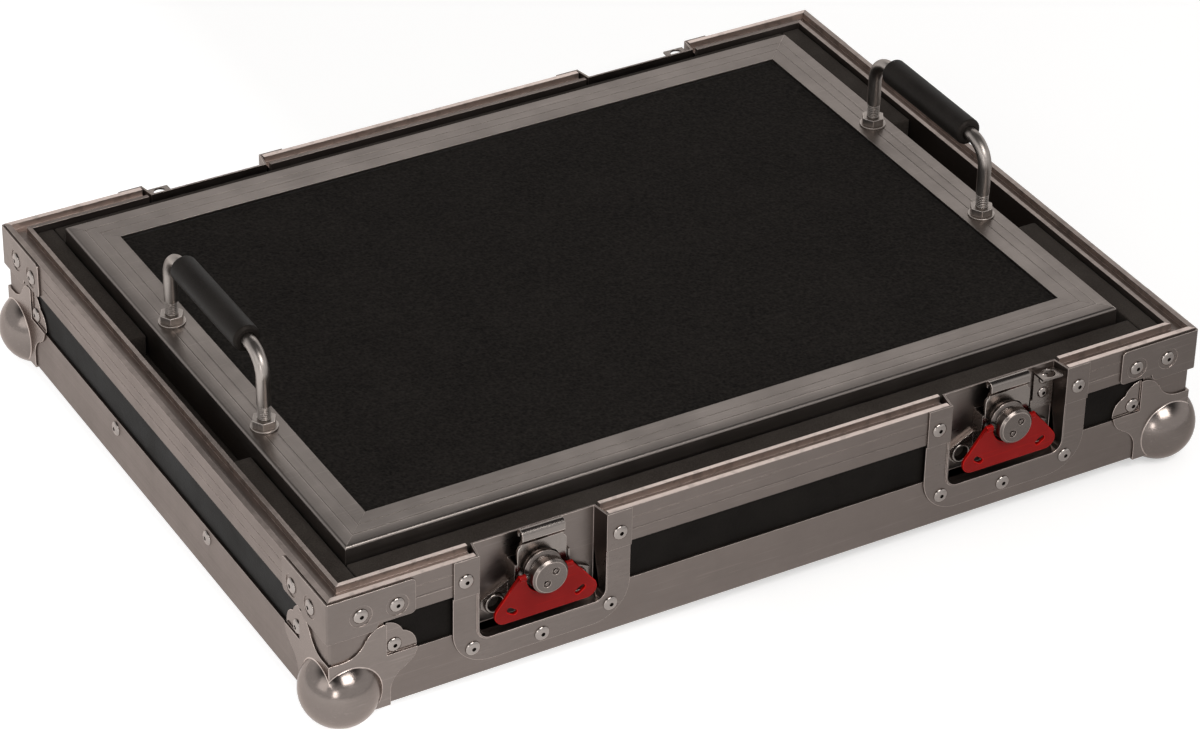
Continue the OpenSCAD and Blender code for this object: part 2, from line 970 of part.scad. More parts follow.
// Profile of the claw: it steps out from the plate, rises and rolls back
module claw_profile() {
    roll_z = hook_top - claw_r;
    front = hook_y - claw_out;
    polygon([[hook_y, -2 * bend_low], [hook_y, -bend_low], [front, -bend_high], [front, roll_z],
             [front + hook_t, roll_z], [front + hook_t, -bend_high], [hook_y + hook_t, -bend_low],
             [hook_y + hook_t, -2 * bend_low]]);
    translate([front + claw_r, roll_z])
        intersection() {
            difference() {
                circle(r = claw_r);
                circle(r = claw_r - hook_t);
            }
            translate([-claw_r, 0])
                square([2 * claw_r, claw_r]);
        }
    translate([front + 2 * claw_r - hook_t, roll_z - claw_lip])
        square([hook_t, claw_lip]);
}

module hook_outline() {
    width = hook_w / 2 - shoulder_r;
    top = -bend_low - over;
    difference() {
        union() {
            translate([-hook_w / 2, -plate_low + shoulder_r])
                square([hook_w, plate_low + top - 2 * shoulder_r]);
            translate([-width, -plate_low])
                square([2 * width, plate_low + top]);
            for (way = [-1, 1], z = [top - shoulder_r, shoulder_r - plate_low])
                translate([way * width, z])
                    circle(r = shoulder_r);
        }
        translate([0, throw_r - knob_drop]) {
            circle(r = window_r);
            translate([0, -window_r])
                square([throw_r, 2 * window_r]);
            translate([throw_r, 0])
                circle(r = window_r);
        }
    }
}

module hook(end)
    color(steel)
        on_latch(end) {
            plate(hook_y, hook_t)
                hook_outline();
            along_x(claw_w)
                claw_profile();
        }

// Foam

module foam_block(x, y, z, size)
    color(foam_black)
        translate([x, y, rim_z + z])
            cube(size);

module long_lining(way) {
    inner = case_d / 2 - rim_t;
    length = case_w - 2 * (rim_t + side_lining_t);
    foam_block(-length / 2, way > 0 ? inner - long_lining_t : -inner, ledge_top,
               [length, long_lining_t, -lining_drop - ledge_top]);
}

module side_lining(way) {
    inner = case_w / 2 - rim_t;
    length = (case_d - hand_gap_l) / 2 - rim_t;
    for (end = [-1, 1])
        foam_block(way > 0 ? inner - side_lining_t : -inner, end > 0 ? hand_gap_l / 2 : -hand_gap_l / 2 - length,
                   ledge_top, [side_lining_t, length, -lining_drop - ledge_top]);
}

module foam_ledge() {
    long = case_w - 2 * wall_back;
    short = case_d - 2 * ledge_w;
    width = ledge_w - wall_back;
    height = ledge_top - floor_z;
    for (way = [-1, 1]) {
        foam_block(-long / 2, way > 0 ? case_d / 2 - ledge_w : -case_d / 2 + wall_back, floor_z,
                   [long, width, height]);
        foam_block(way > 0 ? case_w / 2 - ledge_w : -case_w / 2 + wall_back, -short / 2, floor_z,
                   [width, short, height]);
    }
}

module floor_pad()
    foam_block(-case_w / 2 + ledge_w, -case_d / 2 + ledge_w, floor_z,
               [case_w - 2 * ledge_w, case_d - 2 * ledge_w, pad_t]);

// Pedal board

module on_board()
    translate([board_cx, 0, rim_z])
        children();

function board_len(side) = side % 2 == 0 ? board_w : board_d;

module bar_profile() {
    difference() {
        union() {
            translate([0, -bar_h])
                square([leg_t, bar_h - bar_round]);
            translate([bar_round, -bar_t])
                square([bar_w - bar_round, bar_t]);
            intersection() {
                translate([bar_round, -bar_round])
                    circle(r = bar_round);
                translate([0, -bar_round])
                    square(bar_round);
            }
        }
        for (at = bar_line_at)
            translate([at - line_w / 2, -line_depth])
                square([line_w, line_depth + over]);
    }
}

module bar(side)
    color(aluminium)
        on_board()
            difference() {
                rotate([0, 0, 90 * side])
                    translate([0, -board_len(side + 1) / 2, board_rise])
                        mitred(board_len(side), bar_w, -bar_h, 0)
                            along_x(board_len(side))
                                bar_profile();
                rod_bores();
            }

module foot_places()
    for (way = [-1, 1], end = [-1, 1])
        translate([way * (board_w - bar_w) / 2, end * foot_gap / 2, 0])
            children();

module rod_bores()
    foot_places()
        translate([0, 0, panel_top - ply_t - over])
            cylinder(h = board_rise - panel_top + ply_t + 2 * over, r = thread_r + slip);

module deck_slab(inset, low, thickness)
    on_board()
        difference() {
            translate([-board_w / 2 + inset, -board_d / 2 + inset, low])
                cube([board_w - 2 * inset, board_d - 2 * inset, thickness]);
            rod_bores();
        }

module deck_panel()
    color(black_laminate)
        deck_slab(leg_t, panel_top - ply_t, ply_t);

module deck_carpet()
    color(carpet_black)
        deck_slab(bar_w, panel_top, carpet_t);

// Handles

module on_bar(way)
    on_board()
        translate([way * (board_w - bar_w) / 2, 0, 0])
            children();

module handle(way)
    color(zinc)
        on_bar(way) {
            straight = foot_gap / 2 - bend_r;
            thread_top = board_rise + thread_rise;
            thread_low = panel_top - ply_t - washer_t - nut_h - rod_end;
            rotate([90, 0, 0])
                translate([0, board_rise + grip_h, -straight])
                    cylinder(h = 2 * straight, r = rod_r);
            for (end = [0, 180])
                rotate([0, 0, end])
                    translate([0, foot_gap / 2, 0]) {
                        translate([0, -bend_r, board_rise + grip_h - bend_r])
                            rotate([90, 0, 90])
                                rotate_extrude(angle = 90)
                                    translate([bend_r, 0])
                                        circle(r = rod_r);
                        translate([0, 0, thread_top])
                            cylinder(h = grip_h - bend_r - thread_rise, r = rod_r);
                        translate([0, 0, thread_low])
                            cylinder(h = thread_top - thread_low, r = thread_r);
                    }
        }

module grip(way)
    color(rubber_black)
        on_bar(way)
            translate([0, 0, board_rise + grip_h])
                rotate([90, 0, 0])
                    rotate_extrude()
                        grip_profile();

module grip_profile()
    polygon([[rod_r + slip, -grip_l / 2], [grip_r - grip_round, -grip_l / 2], [grip_r, grip_round - grip_l / 2],
             [grip_r, grip_l / 2 - grip_round], [grip_r - grip_round, grip_l / 2], [rod_r + slip, grip_l / 2]]);

// Heights of what is threaded on a foot: above the flange, and below the panel
washer_heights = [board_rise, panel_top - ply_t - washer_t];
nut_heights = [board_rise + washer_t, panel_top - ply_t - washer_t - nut_h];

module handle_washers()
    color(zinc)
        on_board()
            foot_places()
                for (z = washer_heights)
                    translate([0, 0, z])
                        difference() {
                            cylinder(h = washer_t, r = washer_r);
                            translate([0, 0, -over])
                                cylinder(h = washer_t + 2 * over, r = thread_r + slip);
                        }

module handle_nuts()
    color(zinc)
        on_board()
            foot_places()
                for (z = nut_heights)
                    translate([0, 0, z])
                        difference() {
                            cylinder(h = nut_h, r = nut_flats / sqrt(3), $fn = 6);
                            translate([0, 0, -over])
                                cylinder(h = nut_h + 2 * over, r = thread_r + slip);
                        }

bottom_panel();
wall(0);  // front_wall
wall(2);  // back_wall
wall(3);  // left_wall
wall(1);  // right_wall
rim(0);  // front_rim
rim(2);  // back_rim
rim(3);  // left_rim
rim(1);  // right_rim
edge(0);  // front_edge
edge(2);  // back_edge
edge(3);  // left_edge
edge(1);  // right_edge
corner_angles();
corner_braces();
ball_corners();
brace_rivets();
ball_rivets();
band_rivets();
dish(0, -1, true, false);  // left_latch_dish
dish(0, 1, true, true);  // right_latch_dish
dish(2, 1, false, true);  // left_rear_dish
dish(2, -1, false, true);  // right_rear_dish
dish_rivets();
eye(0, 1);  // front_eye
eye(2, 1);  // left_rear_eye
eye(2, -1);  // right_rear_eye
eye_rivets();
base_plate(-1);  // left_base_plate
base_plate(1);  // right_base_plate
latch_eyelets();
long_lining(-1);  // lining_front
long_lining(1);  // lining_back
side_lining(-1);  // lining_left
side_lining(1);  // lining_right
foam_ledge();
floor_pad();
knob(-1);  // left_knob
pin(-1);  // left_pin
wing(-1);  // left_wing
hook(-1);  // left_hook
knob(1);  // right_knob
pin(1);  // right_pin
wing(1);  // right_wing
hook(1);  // right_hook
deck_panel();
deck_carpet();
bar(0);  // front_bar
bar(2);  // back_bar
bar(3);  // left_bar
bar(1);  // right_bar
handle(-1);  // left_handle
handle(1);  // right_handle
grip(-1);  // left_grip
grip(1);  // right_grip
handle_nuts();
handle_washers();
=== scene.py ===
"""Looks of the open base of a flight case for guitar pedals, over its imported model."""

import json
import logging
import math
from collections.abc import Callable, Iterable, Sequence
from dataclasses import dataclass, replace
from enum import Enum

import bmesh
import bpy
from bmesh.types import BMEdge, BMesh, BMFace, BMVert
from bpy.types import ID, Material, Mesh, Node, NodeSocket, NodeTree, Object, World
from mathutils import Matrix, Vector, noise
from mathutils.geometry import delaunay_2d_cdt


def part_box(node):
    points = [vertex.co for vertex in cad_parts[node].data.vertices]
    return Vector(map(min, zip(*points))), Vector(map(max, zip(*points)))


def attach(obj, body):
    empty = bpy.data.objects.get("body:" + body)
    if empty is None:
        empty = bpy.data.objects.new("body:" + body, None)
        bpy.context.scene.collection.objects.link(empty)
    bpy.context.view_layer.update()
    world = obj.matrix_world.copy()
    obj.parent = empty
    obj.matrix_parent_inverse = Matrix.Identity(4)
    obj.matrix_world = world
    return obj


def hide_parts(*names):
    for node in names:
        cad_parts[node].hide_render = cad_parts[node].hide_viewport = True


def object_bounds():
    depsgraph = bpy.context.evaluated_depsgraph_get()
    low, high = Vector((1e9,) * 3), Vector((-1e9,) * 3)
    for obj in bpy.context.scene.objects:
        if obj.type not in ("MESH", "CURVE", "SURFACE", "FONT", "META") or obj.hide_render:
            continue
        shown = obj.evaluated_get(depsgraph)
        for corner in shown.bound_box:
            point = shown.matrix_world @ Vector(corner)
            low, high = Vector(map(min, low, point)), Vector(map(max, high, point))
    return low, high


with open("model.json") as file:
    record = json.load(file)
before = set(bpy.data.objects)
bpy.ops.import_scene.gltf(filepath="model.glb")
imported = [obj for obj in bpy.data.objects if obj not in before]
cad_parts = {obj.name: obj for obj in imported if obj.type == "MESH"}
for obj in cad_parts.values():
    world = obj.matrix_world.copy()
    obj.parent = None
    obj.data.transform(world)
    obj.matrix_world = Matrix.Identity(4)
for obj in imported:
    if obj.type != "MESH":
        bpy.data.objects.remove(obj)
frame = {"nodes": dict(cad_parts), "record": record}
CAD_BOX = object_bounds()
MM = 0.001
LOG = logging.getLogger("pedal_case")
Colour = tuple[float, float, float]
FullColour = tuple[float, float, float, float]
Sockets = dict[str, NodeSocket]
# Painted shade: the dark colour that the insides of the rivets' mandrel holes take.
HOLE_SHADE: FullColour = (0.05, 0.044, 0.04, 1.0)
DUST: FullColour = (0.16, 0.145, 0.13, 1.0)
WHITE: FullColour = (1.0, 1.0, 1.0, 1.0)
WARM_WHITE: Colour = (1.0, 0.985, 0.97)
METAL_TINT: FullColour = (0.88, 0.82, 0.79, 1.0)
SKIN_TINT: FullColour = (1.0, 0.86, 0.78, 1.0)


class Run(Enum):
    """Axis along which a bar was drawn or rolled: that axis first, then the two across it."""

    X = (0, 1, 2)
    Y = (1, 0, 2)
    Z = (2, 0, 1)


class Tree:
    """Short way to fill a node tree of shaders or geometry."""

    def __init__(self, tree: NodeTree) -> None:
        """Keeps the tree and empties it.

        Args:
            tree: Tree to fill.
        """
        self.tree = tree
        tree.nodes.clear()

    @classmethod
    def of(cls, owner: Material | World) -> "Tree":
        """Opens the nodes of a material or world and returns their tree."""
        owner.use_nodes = True
        return cls(owner.node_tree)

    def add(self, kind: str, sockets: dict | None = None, **settings: object) -> Node:
        """Adds a node.

        Args:
            kind: Blender's name of the node type.
            sockets: Values or linked output sockets by input name or index.
            **settings: Properties of the node.

        Returns:
            The new node.
        """
        node = self.tree.nodes.new(kind)
        for key, value in settings.items():
            setattr(node, key, value)
        for key, value in (sockets or {}).items():
            self.feed(node.inputs[key], value)
        return node

    def feed(self, socket: NodeSocket, value: object) -> None:
        """Links a socket to an output, or sets its value.

        Args:
            socket: Input to fill.
            value: Output socket or plain value.
        """
        if isinstance(value, NodeSocket):
            self.tree.links.new(value, socket)
        else:
            socket.default_value = value

    def shared(self, name: str, **sockets: object) -> Node:
        """Places a shared group and fills its inputs, whose names take _ for a space."""
        return self.add("ShaderNodeGroup", {key.replace("_", " "): value for key, value in sockets.items()},
                        node_tree=GROUPS[name])

    def math(self, operation: str, first: object, second: object = 0.5, clamp: bool = False) -> NodeSocket:
        """Adds a Math node and returns its output."""
        return self.add("ShaderNodeMath", {0: first, 1: second}, operation=operation, use_clamp=clamp).outputs[0]

    def spread(self, value: object, low: float, high: float, new_low: object = 0.0,
               new_high: object = 1.0) -> NodeSocket:
        """Adds a Map Range node from low..high to new_low..new_high and returns its output."""
        names = ("Value", "From Min", "From Max", "To Min", "To Max")
        return self.add("ShaderNodeMapRange", dict(zip(names, (value, low, high, new_low, new_high)))).outputs[0]

    def noise(self, place: NodeSocket, scale: object, detail: float = 2.0, roughness: float = 0.5) -> NodeSocket:
        """Adds a Noise Texture node and returns its value."""
        values = {"Vector": place, "Scale": scale, "Detail": detail, "Roughness": roughness}
        return self.add("ShaderNodeTexNoise", values).outputs["Fac"]

    def bump(self, height: NodeSocket, strength: float, depth: float) -> NodeSocket:
        """Adds a Bump node and returns its normal."""
        return self.add("ShaderNodeBump", {"Height": height, "Strength": strength, "Distance": depth}).outputs[0]

    def worn_and_lit(self, place: NodeSocket, colour: NodeSocket, bright_colour: FullColour, amount: float) -> NodeSocket:
        """Places the shared group that lightens edges, with scuffing and painted highlight, and darkens holes with
        painted shade, and returns its colour.
        """
        return self.shared("wear_and_painted_light", Vector=place, Colour=colour, Worn=bright_colour, Amount=amount).outputs["Colour"]

    def mix(self, factor: object, first: object, second: object) -> NodeSocket:
        """Adds a colour Mix node and returns its output."""
        return self.add("ShaderNodeMix", {0: factor, 6: first, 7: second}, data_type="RGBA").outputs[2]


def new_group(name: str, kind: str, inputs: dict[str, str], outputs: dict[str, str]) -> tuple[Tree, Sockets, Sockets]:
    """Starts a node group with named sockets.

    Args:
        name: Name of the group.
        kind: Shader or Geometry.
        inputs: Socket type of each input.
        outputs: Socket type of each output.

    Returns:
        The group's tree, its inputs and its outputs.
    """
    group = bpy.data.node_groups.new(name, kind + "NodeTree")
    for side, sockets in {"INPUT": inputs, "OUTPUT": outputs}.items():
        for label, form in sockets.items():
            group.interface.new_socket(label, in_out=side, socket_type="NodeSocket" + form)
    tree = Tree(group)
    given, out = tree.add("NodeGroupInput").outputs, tree.add("NodeGroupOutput").inputs
    return tree, dict(given.items()), dict(out.items())


def grain_group() -> NodeTree:
    """Builds the streaks that drawing, rolling or brushing leaves in metal.

    Returns:
        The group: fine streaks, and rare die lines that run far along the bar.
    """
    inputs = {"Vector": "Vector", "Fineness": "Float", "Stretch": "Float"}
    tree, given, out = new_group("metal grain", "Shader", inputs, {"Streak": "Float", "Line": "Float"})
    fineness = given["Fineness"]
    along = tree.math("DIVIDE", fineness, given["Stretch"])
    scale = tree.add("ShaderNodeCombineXYZ", {0: along, 1: fineness, 2: fineness})
    place = tree.add("ShaderNodeVectorMath", {0: given["Vector"], 1: scale.outputs[0]}, operation="MULTIPLY")
    tree.feed(out["Streak"], tree.spread(tree.noise(place.outputs[0], 1.0, 3.0, 0.6), 0.3, 0.7))
    far = tree.add("ShaderNodeVectorMath", {0: place.outputs[0], 1: (0.12, 0.35, 0.35)}, operation="MULTIPLY")
    tree.feed(out["Line"], tree.spread(tree.noise(far.outputs[0], 1.0, 1.0), 0.62, 0.70))
    return tree.tree


def handling_group() -> NodeTree:
    """Builds the smudges and thin scratches of a case that has been carried about.

    Returns:
        The group: broad soft smudges, and thin crossing scratches.
    """
    inputs = {"Vector": "Vector", "Density": "Float"}
    tree, given, out = new_group("handling marks", "Shader", inputs, {"Smudge": "Float", "Scratch": "Float"})
    place = given["Vector"]
    tree.feed(out["Smudge"], tree.spread(tree.noise(place, 28.0, 4.0, 0.65), 0.35, 0.68))
    lines: list[NodeSocket] = []
    for turn, seed in ((0.35, 1.0), (-0.9, 7.0), (1.4, 13.0)):
        turned = tree.add("ShaderNodeMapping", {
            "Vector": place, "Location": (seed, seed, seed), "Rotation": (turn, turn * 0.6, turn),
            "Scale": (22.0, 640.0, 640.0)})
        lines.append(tree.spread(tree.noise(turned.outputs[0], 1.0, 1.0), 0.70, 0.74))
    both = tree.math("MAXIMUM", tree.math("MAXIMUM", lines[0], lines[1]), lines[2])
    tree.feed(out["Scratch"], tree.math("MULTIPLY", both, given["Density"], clamp=True))
    return tree.tree


def pebble_group() -> NodeTree:
    """Builds a surface of small rounded bumps, as on laminate, foam skin and moulded rubber.

    Returns:
        The group: the bumps' height, and painted shade and highlight that follow them, darker in the hollows and
            lighter on the tops.
    """
    inputs = {"Vector": "Vector", "Fineness": "Float"}
    tree, given, out = new_group("pebbled skin", "Shader", inputs, {"Height": "Float", "Tone": "Float"})
    place, fineness = given["Vector"], given["Fineness"]
    cells = tree.add("ShaderNodeTexVoronoi", {"Vector": place, "Scale": fineness}, feature="SMOOTH_F1")
    soft = tree.noise(place, tree.math("MULTIPLY", fineness, 0.6))
    height = tree.math("ADD", cells.outputs["Distance"], soft)
    tree.feed(out["Height"], height)
    # Painted shade and highlight: lighter where the bumps stand higher.
    tree.feed(out["Tone"], tree.spread(height, 0.5, 1.3))
    return tree.tree


def edge_light_and_hole_shade_group() -> NodeTree:
    """Builds the change of colour on edges, lighter with scuffing and painted highlight, and in holes, darker with
    painted shade.

    Returns:
        The group: a colour with its edges lighter, with scuffing and painted highlight, and its holes darker with
            painted shade.
    """
    inputs = {"Vector": "Vector", "Colour": "Color", "Worn": "Color", "Amount": "Float"}
    tree, given, out = new_group("edge light and hole shade", "Shader", inputs, {"Colour": "Color"})
    # The edge mark lightens rounded edges and rim lips with scuffing and painted highlight; the hole mark darkens rivet
    # holes with painted shade.
    edge = tree.add("ShaderNodeAttribute", attribute_name="edge").outputs["Fac"]
    hole_shade = tree.add("ShaderNodeAttribute", attribute_name="hole_shade").outputs["Fac"]
    patches = tree.spread(tree.noise(given["Vector"], 160.0, 3.0), 0.35, 0.6, 0.55, 1.0)
    share = tree.math("MULTIPLY", tree.math("MULTIPLY", edge, given["Amount"]), patches, clamp=True)
    worn_and_lit = tree.mix(share, given["Colour"], given["Worn"])
    tree.feed(out["Colour"], tree.mix(hole_shade, worn_and_lit, HOLE_SHADE))
    return tree.tree


GROUPS = {"grain": grain_group(), "handling": handling_group(), "pebble": pebble_group(), "wear_and_painted_light": edge_light_and_hole_shade_group()}


def tint(colour: Colour, factor: float) -> FullColour:
    """Returns a colour made lighter or darker, with full alpha."""
    return (*(min(1.0, channel * factor) for channel in colour), 1.0)


@dataclass(frozen=True)
class Finish:
    """Base of every finish.

    Attributes:
        name: Name of the Blender material.
        slot: Slot of the record for the piece; not used.
        colour: Base colour, linear.
        roughness: Mean roughness.
    """

    name: str
    slot: str
    colour: Colour
    roughness: float

    def material(self) -> Material:
        """Builds the Blender material, once.

        Returns:
            The material.
        """
        known = bpy.data.materials.get(self.name)
        if known is None:
            known = bpy.data.materials.new(self.name)
            tree = Tree.of(known)
            values = self.dress(tree, tree.add("ShaderNodeTexCoord").outputs["Object"])
            shader = tree.add("ShaderNodeBsdfPrincipled", values)
            tree.add("ShaderNodeOutputMaterial", {0: shader.outputs[0]})
        return known

    def dress(self, tree: Tree, place: NodeSocket) -> dict[str, object]:
        """Fills the material's tree.

        Args:
            tree: The material's tree.
            place: Object coordinates.

        Returns:
            Values or sockets for the Principled BSDF's inputs.
        """
        raise NotImplementedError


@dataclass(frozen=True)
class Metal(Finish):
    """Bare or plated metal with grain, smudges, scratches, and edges lighter with scuffing and painted highlight.

    Attributes:
        fineness: Streaks in a metre across the grain.
        stretch: How much longer than wide the streaks are.
        contrast: Share by which the streaks change the colour.
        relief: Depth of the streaks in metres.
        scratches: Density of scratches.
        bright_edge: Share by which rounded edges are lighter, with scuffing and painted highlight.
        lines: Share by which die lines are darker.
        brightened_tint: How much lighter the metal is where scuffing and painted highlight are full.
    """

    fineness: float = 1500.0
    stretch: float = 80.0
    contrast: float = 0.12
    relief: float = 0.00001
    scratches: float = 0.4
    bright_edge: float = 0.45
    lines: float = 0.0
    brightened_tint: float = 2.6

    def dress(self, tree: Tree, place: NodeSocket) -> dict[str, object]:
        """Fills the material's tree.

        Args:
            tree: The material's tree.
            place: Object coordinates.

        Returns:
            Values or sockets for the Principled BSDF's inputs.
        """
        along = tree.add("ShaderNodeAttribute", attribute_name="grain").outputs["Vector"]
        grain = tree.shared("grain", Vector=along, Fineness=self.fineness, Stretch=self.stretch)
        marks = tree.shared("handling", Vector=place, Density=self.scratches)
        streak, smudge, scratch = grain.outputs["Streak"], marks.outputs["Smudge"], marks.outputs["Scratch"]
        toned = tree.mix(streak, tint(self.colour, 1.0 - self.contrast), tint(self.colour, 1.0 + self.contrast))
        marked = ((grain.outputs["Line"], self.lines, 0.35), (smudge, 0.5, 0.84), (scratch, 0.5, 1.6))
        for mark, share, factor in marked:
            toned = tree.mix(tree.math("MULTIPLY", mark, share), toned, tint(self.colour, factor))
        rough = tree.spread(streak, 0.0, 1.0, self.roughness * 0.85, self.roughness * 1.15)
        # Edges and rim lips lighter with scuffing and painted highlight, rivet holes darker with painted shade.
        return {"Base Color": tree.worn_and_lit(place, toned, tint(self.colour, self.brightened_tint), self.bright_edge),
                "Metallic": 1.0, "Specular Tint": METAL_TINT,
                "Roughness": tree.math("ADD", rough, tree.math("MULTIPLY", smudge, 0.08), clamp=True),
                "Normal": tree.bump(tree.math("SUBTRACT", streak, scratch), 0.35, self.relief)}


@dataclass(frozen=True)
class Paint(Finish):
    """Gloss paint, lighter on its edges, where it is thin and where a highlight is painted.

    Attributes:
        coat: Weight of the clear gloss on top.
        gloss: Specular level.
        peel: Waves of the paint's skin in a metre.
        relief: Depth of those waves in metres.
    """

    coat: float = 0.04
    gloss: float = 0.12
    peel: float = 900.0
    relief: float = 0.00006

    def dress(self, tree: Tree, place: NodeSocket) -> dict[str, object]:
        """Fills the material's tree.

        Args:
            tree: The material's tree.
            place: Object coordinates.

        Returns:
            Values or sockets for the Principled BSDF's inputs.
        """
        marks = tree.shared("handling", Vector=place, Density=0.6)
        smudge, scratch = marks.outputs["Smudge"], marks.outputs["Scratch"]
        toned = tree.mix(smudge, tint(self.colour, 1.0), tint(self.colour, 0.8))
        toned = tree.mix(tree.math("MULTIPLY", scratch, 0.4), toned, tint(self.colour, 1.7))
        # Edges lighter where the paint is thin, and with painted highlight.
        return {"Base Color": tree.worn_and_lit(place, toned, tint(self.colour, 2.3), 0.9),
                "Roughness": tree.spread(smudge, 0.0, 1.0, self.roughness, self.roughness + 0.15),
                "Coat Weight": self.coat, "Specular IOR Level": self.gloss,
                "Normal": tree.bump(tree.noise(place, self.peel), 0.4, self.relief)}


@dataclass(frozen=True)
class Skin(Finish):
    """Black pebbled laminate, foam, carpet or rubber.

    Attributes:
        fineness: Bumps in a metre.
        relief: Depth of the bumps in metres.
        dust: Share of pale dust in smudged patches.
        gloss: Specular level.
        sheen: Sheen weight of a fibrous surface.
        bump_shading: How much lighter the tops of the bumps are than the hollows, as painted highlight on the tops and
            painted shade in the hollows.
    """

    fineness: float = 1200.0
    relief: float = 0.0001
    dust: float = 0.1
    gloss: float = 0.2
    sheen: float = 0.0
    bump_shading: float = 1.5

    def dress(self, tree: Tree, place: NodeSocket) -> dict[str, object]:
        """Fills the material's tree.

        Args:
            tree: The material's tree.
            place: Object coordinates.

        Returns:
            Values or sockets for the Principled BSDF's inputs.
        """
        skin = tree.shared("pebble", Vector=place, Fineness=self.fineness)
        smudge = tree.shared("handling", Vector=place, Density=0.5).outputs["Smudge"]
        # Painted shade in the hollows of the bumps and painted highlight on their tops.
        toned = tree.mix(skin.outputs["Tone"], tint(self.colour, 0.7), tint(self.colour, self.bump_shading))
        toned = tree.mix(tree.math("MULTIPLY", smudge, self.dust), toned, DUST)
        # Edges lighter with scuffing and painted highlight.
        return {"Base Color": tree.worn_and_lit(place, toned, tint(self.colour, 1.6), 0.6),
                "Roughness": tree.spread(smudge, 0.0, 1.0, self.roughness - 0.06, self.roughness + 0.06),
                "Specular IOR Level": self.gloss, "Specular Tint": SKIN_TINT, "Sheen Weight": self.sheen,
                "Normal": tree.bump(skin.outputs["Height"], 0.6, self.relief)}


EXTRUSION = Metal("satin aluminium extrusion", "extrusion", (0.17, 0.1435, 0.131), 0.36, fineness=1700.0, stretch=420.0,
                  contrast=0.035, lines=0.07, bright_edge=0.51, brightened_tint=3.8)
FRAME_BAR = Metal("satin frame bar", "frame_bar", (0.19, 0.168, 0.155), 0.32, fineness=1500.0, stretch=420.0,
                  contrast=0.035, lines=0.06, bright_edge=0.6)
STAMPED = Metal("nickel plated stamping", "stamped_steel", (0.168, 0.143, 0.131), 0.29, fineness=1100.0, stretch=6.0,
                contrast=0.06, scratches=0.45, bright_edge=1.2)
BALL_STEEL = Metal("polished ball corner", "stamped_steel", (0.195, 0.166, 0.152), 0.17, fineness=1000.0, stretch=5.0,
                   contrast=0.05, scratches=0.5, bright_edge=1.0)
BRACKET = Metal("zinc plated bracket", "bracket", (0.19, 0.167, 0.154), 0.22, fineness=1300.0, stretch=8.0,
                contrast=0.06)
RIVET = Metal("zinc plated rivet", "rivet", (0.30, 0.268, 0.25), 0.17, fineness=2600.0, stretch=3.0, contrast=0.06,
              scratches=0.2)
BRIGHT = Metal("bright nickel latch", "bright_plate", (0.22, 0.195, 0.18), 0.17, fineness=1800.0, stretch=12.0,
               contrast=0.05, scratches=0.3, bright_edge=0.8)
KNOB = Metal("turned latch knob", "bright_plate", (0.14, 0.12, 0.11), 0.26, fineness=2400.0, stretch=20.0, contrast=0.1,
             scratches=0.3, bright_edge=0.9)
ROD = Metal("zinc plated rod", "handle_rod", (0.30, 0.27, 0.25), 0.32, fineness=1600.0, stretch=10.0, contrast=0.1)
WING_RED = Paint("gloss red wing", "wing_paint", (0.22, 0.0016, 0.0008), 0.42)
LAMINATE = Skin("black pebbled laminate", "laminate", (0.0028, 0.0023, 0.002), 0.5, fineness=1100.0, relief=0.0001,
                dust=0.03, gloss=0.055)
FOAM = Skin("black closed cell foam", "foam", (0.023, 0.0187, 0.016), 0.85, fineness=1500.0, relief=0.00016, dust=0.08,
            gloss=0.06, sheen=0.03)
CARPET = Skin("black loop carpet", "carpet", (0.0045, 0.0039, 0.0035), 0.9, fineness=620.0, relief=0.0004, dust=0.02,
              gloss=0.03, sheen=0.02, bump_shading=3.2)
RUBBER = Skin("matte black grip rubber", "grip_rubber", (0.008, 0.0068, 0.0061), 0.5, fineness=1600.0, relief=0.00005,
              dust=0.05, gloss=0.1)


def link(name: str, data: ID) -> Object:
    """Links a mesh, lamp or camera as a new object at the origin.

    Args:
        name: Name of the object.
        data: What it shows.

    Returns:
        The object.
    """
    thing = bpy.data.objects.new(name, data)
    bpy.context.scene.collection.objects.link(thing)
    return thing


def span(points: Iterable[Vector]) -> tuple[Vector, Vector]:
    """Returns the lowest and highest corners of some points."""
    many = list(points)
    return (Vector(min(p[i] for p in many) for i in range(3)), Vector(max(p[i] for p in many) for i in range(3)))


def merged(node: str, within: float) -> BMesh:
    """Reads a node's mesh and merges the points that its triangles share.

    Args:
        node: Name of the node.
        within: Largest distance between points that are merged.

    Returns:
        The mesh in a new BMesh.
    """
    bm = bmesh.new()
    bm.from_mesh(frame["nodes"][node].data)
    bmesh.ops.remove_doubles(bm, verts=bm.verts, dist=within)
    return bm


def islands(node: str) -> list[list[Vector]]:
    """Splits a node's mesh into its separate solids.

    Args:
        node: Name of the node.

    Returns:
        The points of each solid, in a steady order.
    """
    bm = merged(node, within=1e-6)
    found = [[vert.co.copy() for face in solid for vert in face.verts] for solid in surfaces(bm, lambda edge: True)]
    bm.free()
    return sorted(found, key=lambda points: tuple(round(v, 4) for v in span(points)[0]))


def mark_grain(mesh: Mesh, run: Run) -> None:
    """Writes each point's place along and across the grain.

    Args:
        mesh: Mesh to mark.
        run: Axis of the grain.
    """
    layer = mesh.attributes.new("grain", "FLOAT_VECTOR", "POINT")
    layer.data.foreach_set("vector", [vert.co[axis] for vert in mesh.vertices for axis in run.value])


def settled(thing: Object) -> Object:
    """Turns an object's modifiers into plain mesh.

    Args:
        thing: Object with modifiers.

    Returns:
        The same object, with its new mesh and no modifiers.
    """
    bpy.context.view_layer.update()
    mesh = bpy.data.meshes.new_from_object(thing.evaluated_get(bpy.context.evaluated_depsgraph_get()))
    thing.modifiers.clear()
    thing.data = mesh
    return thing


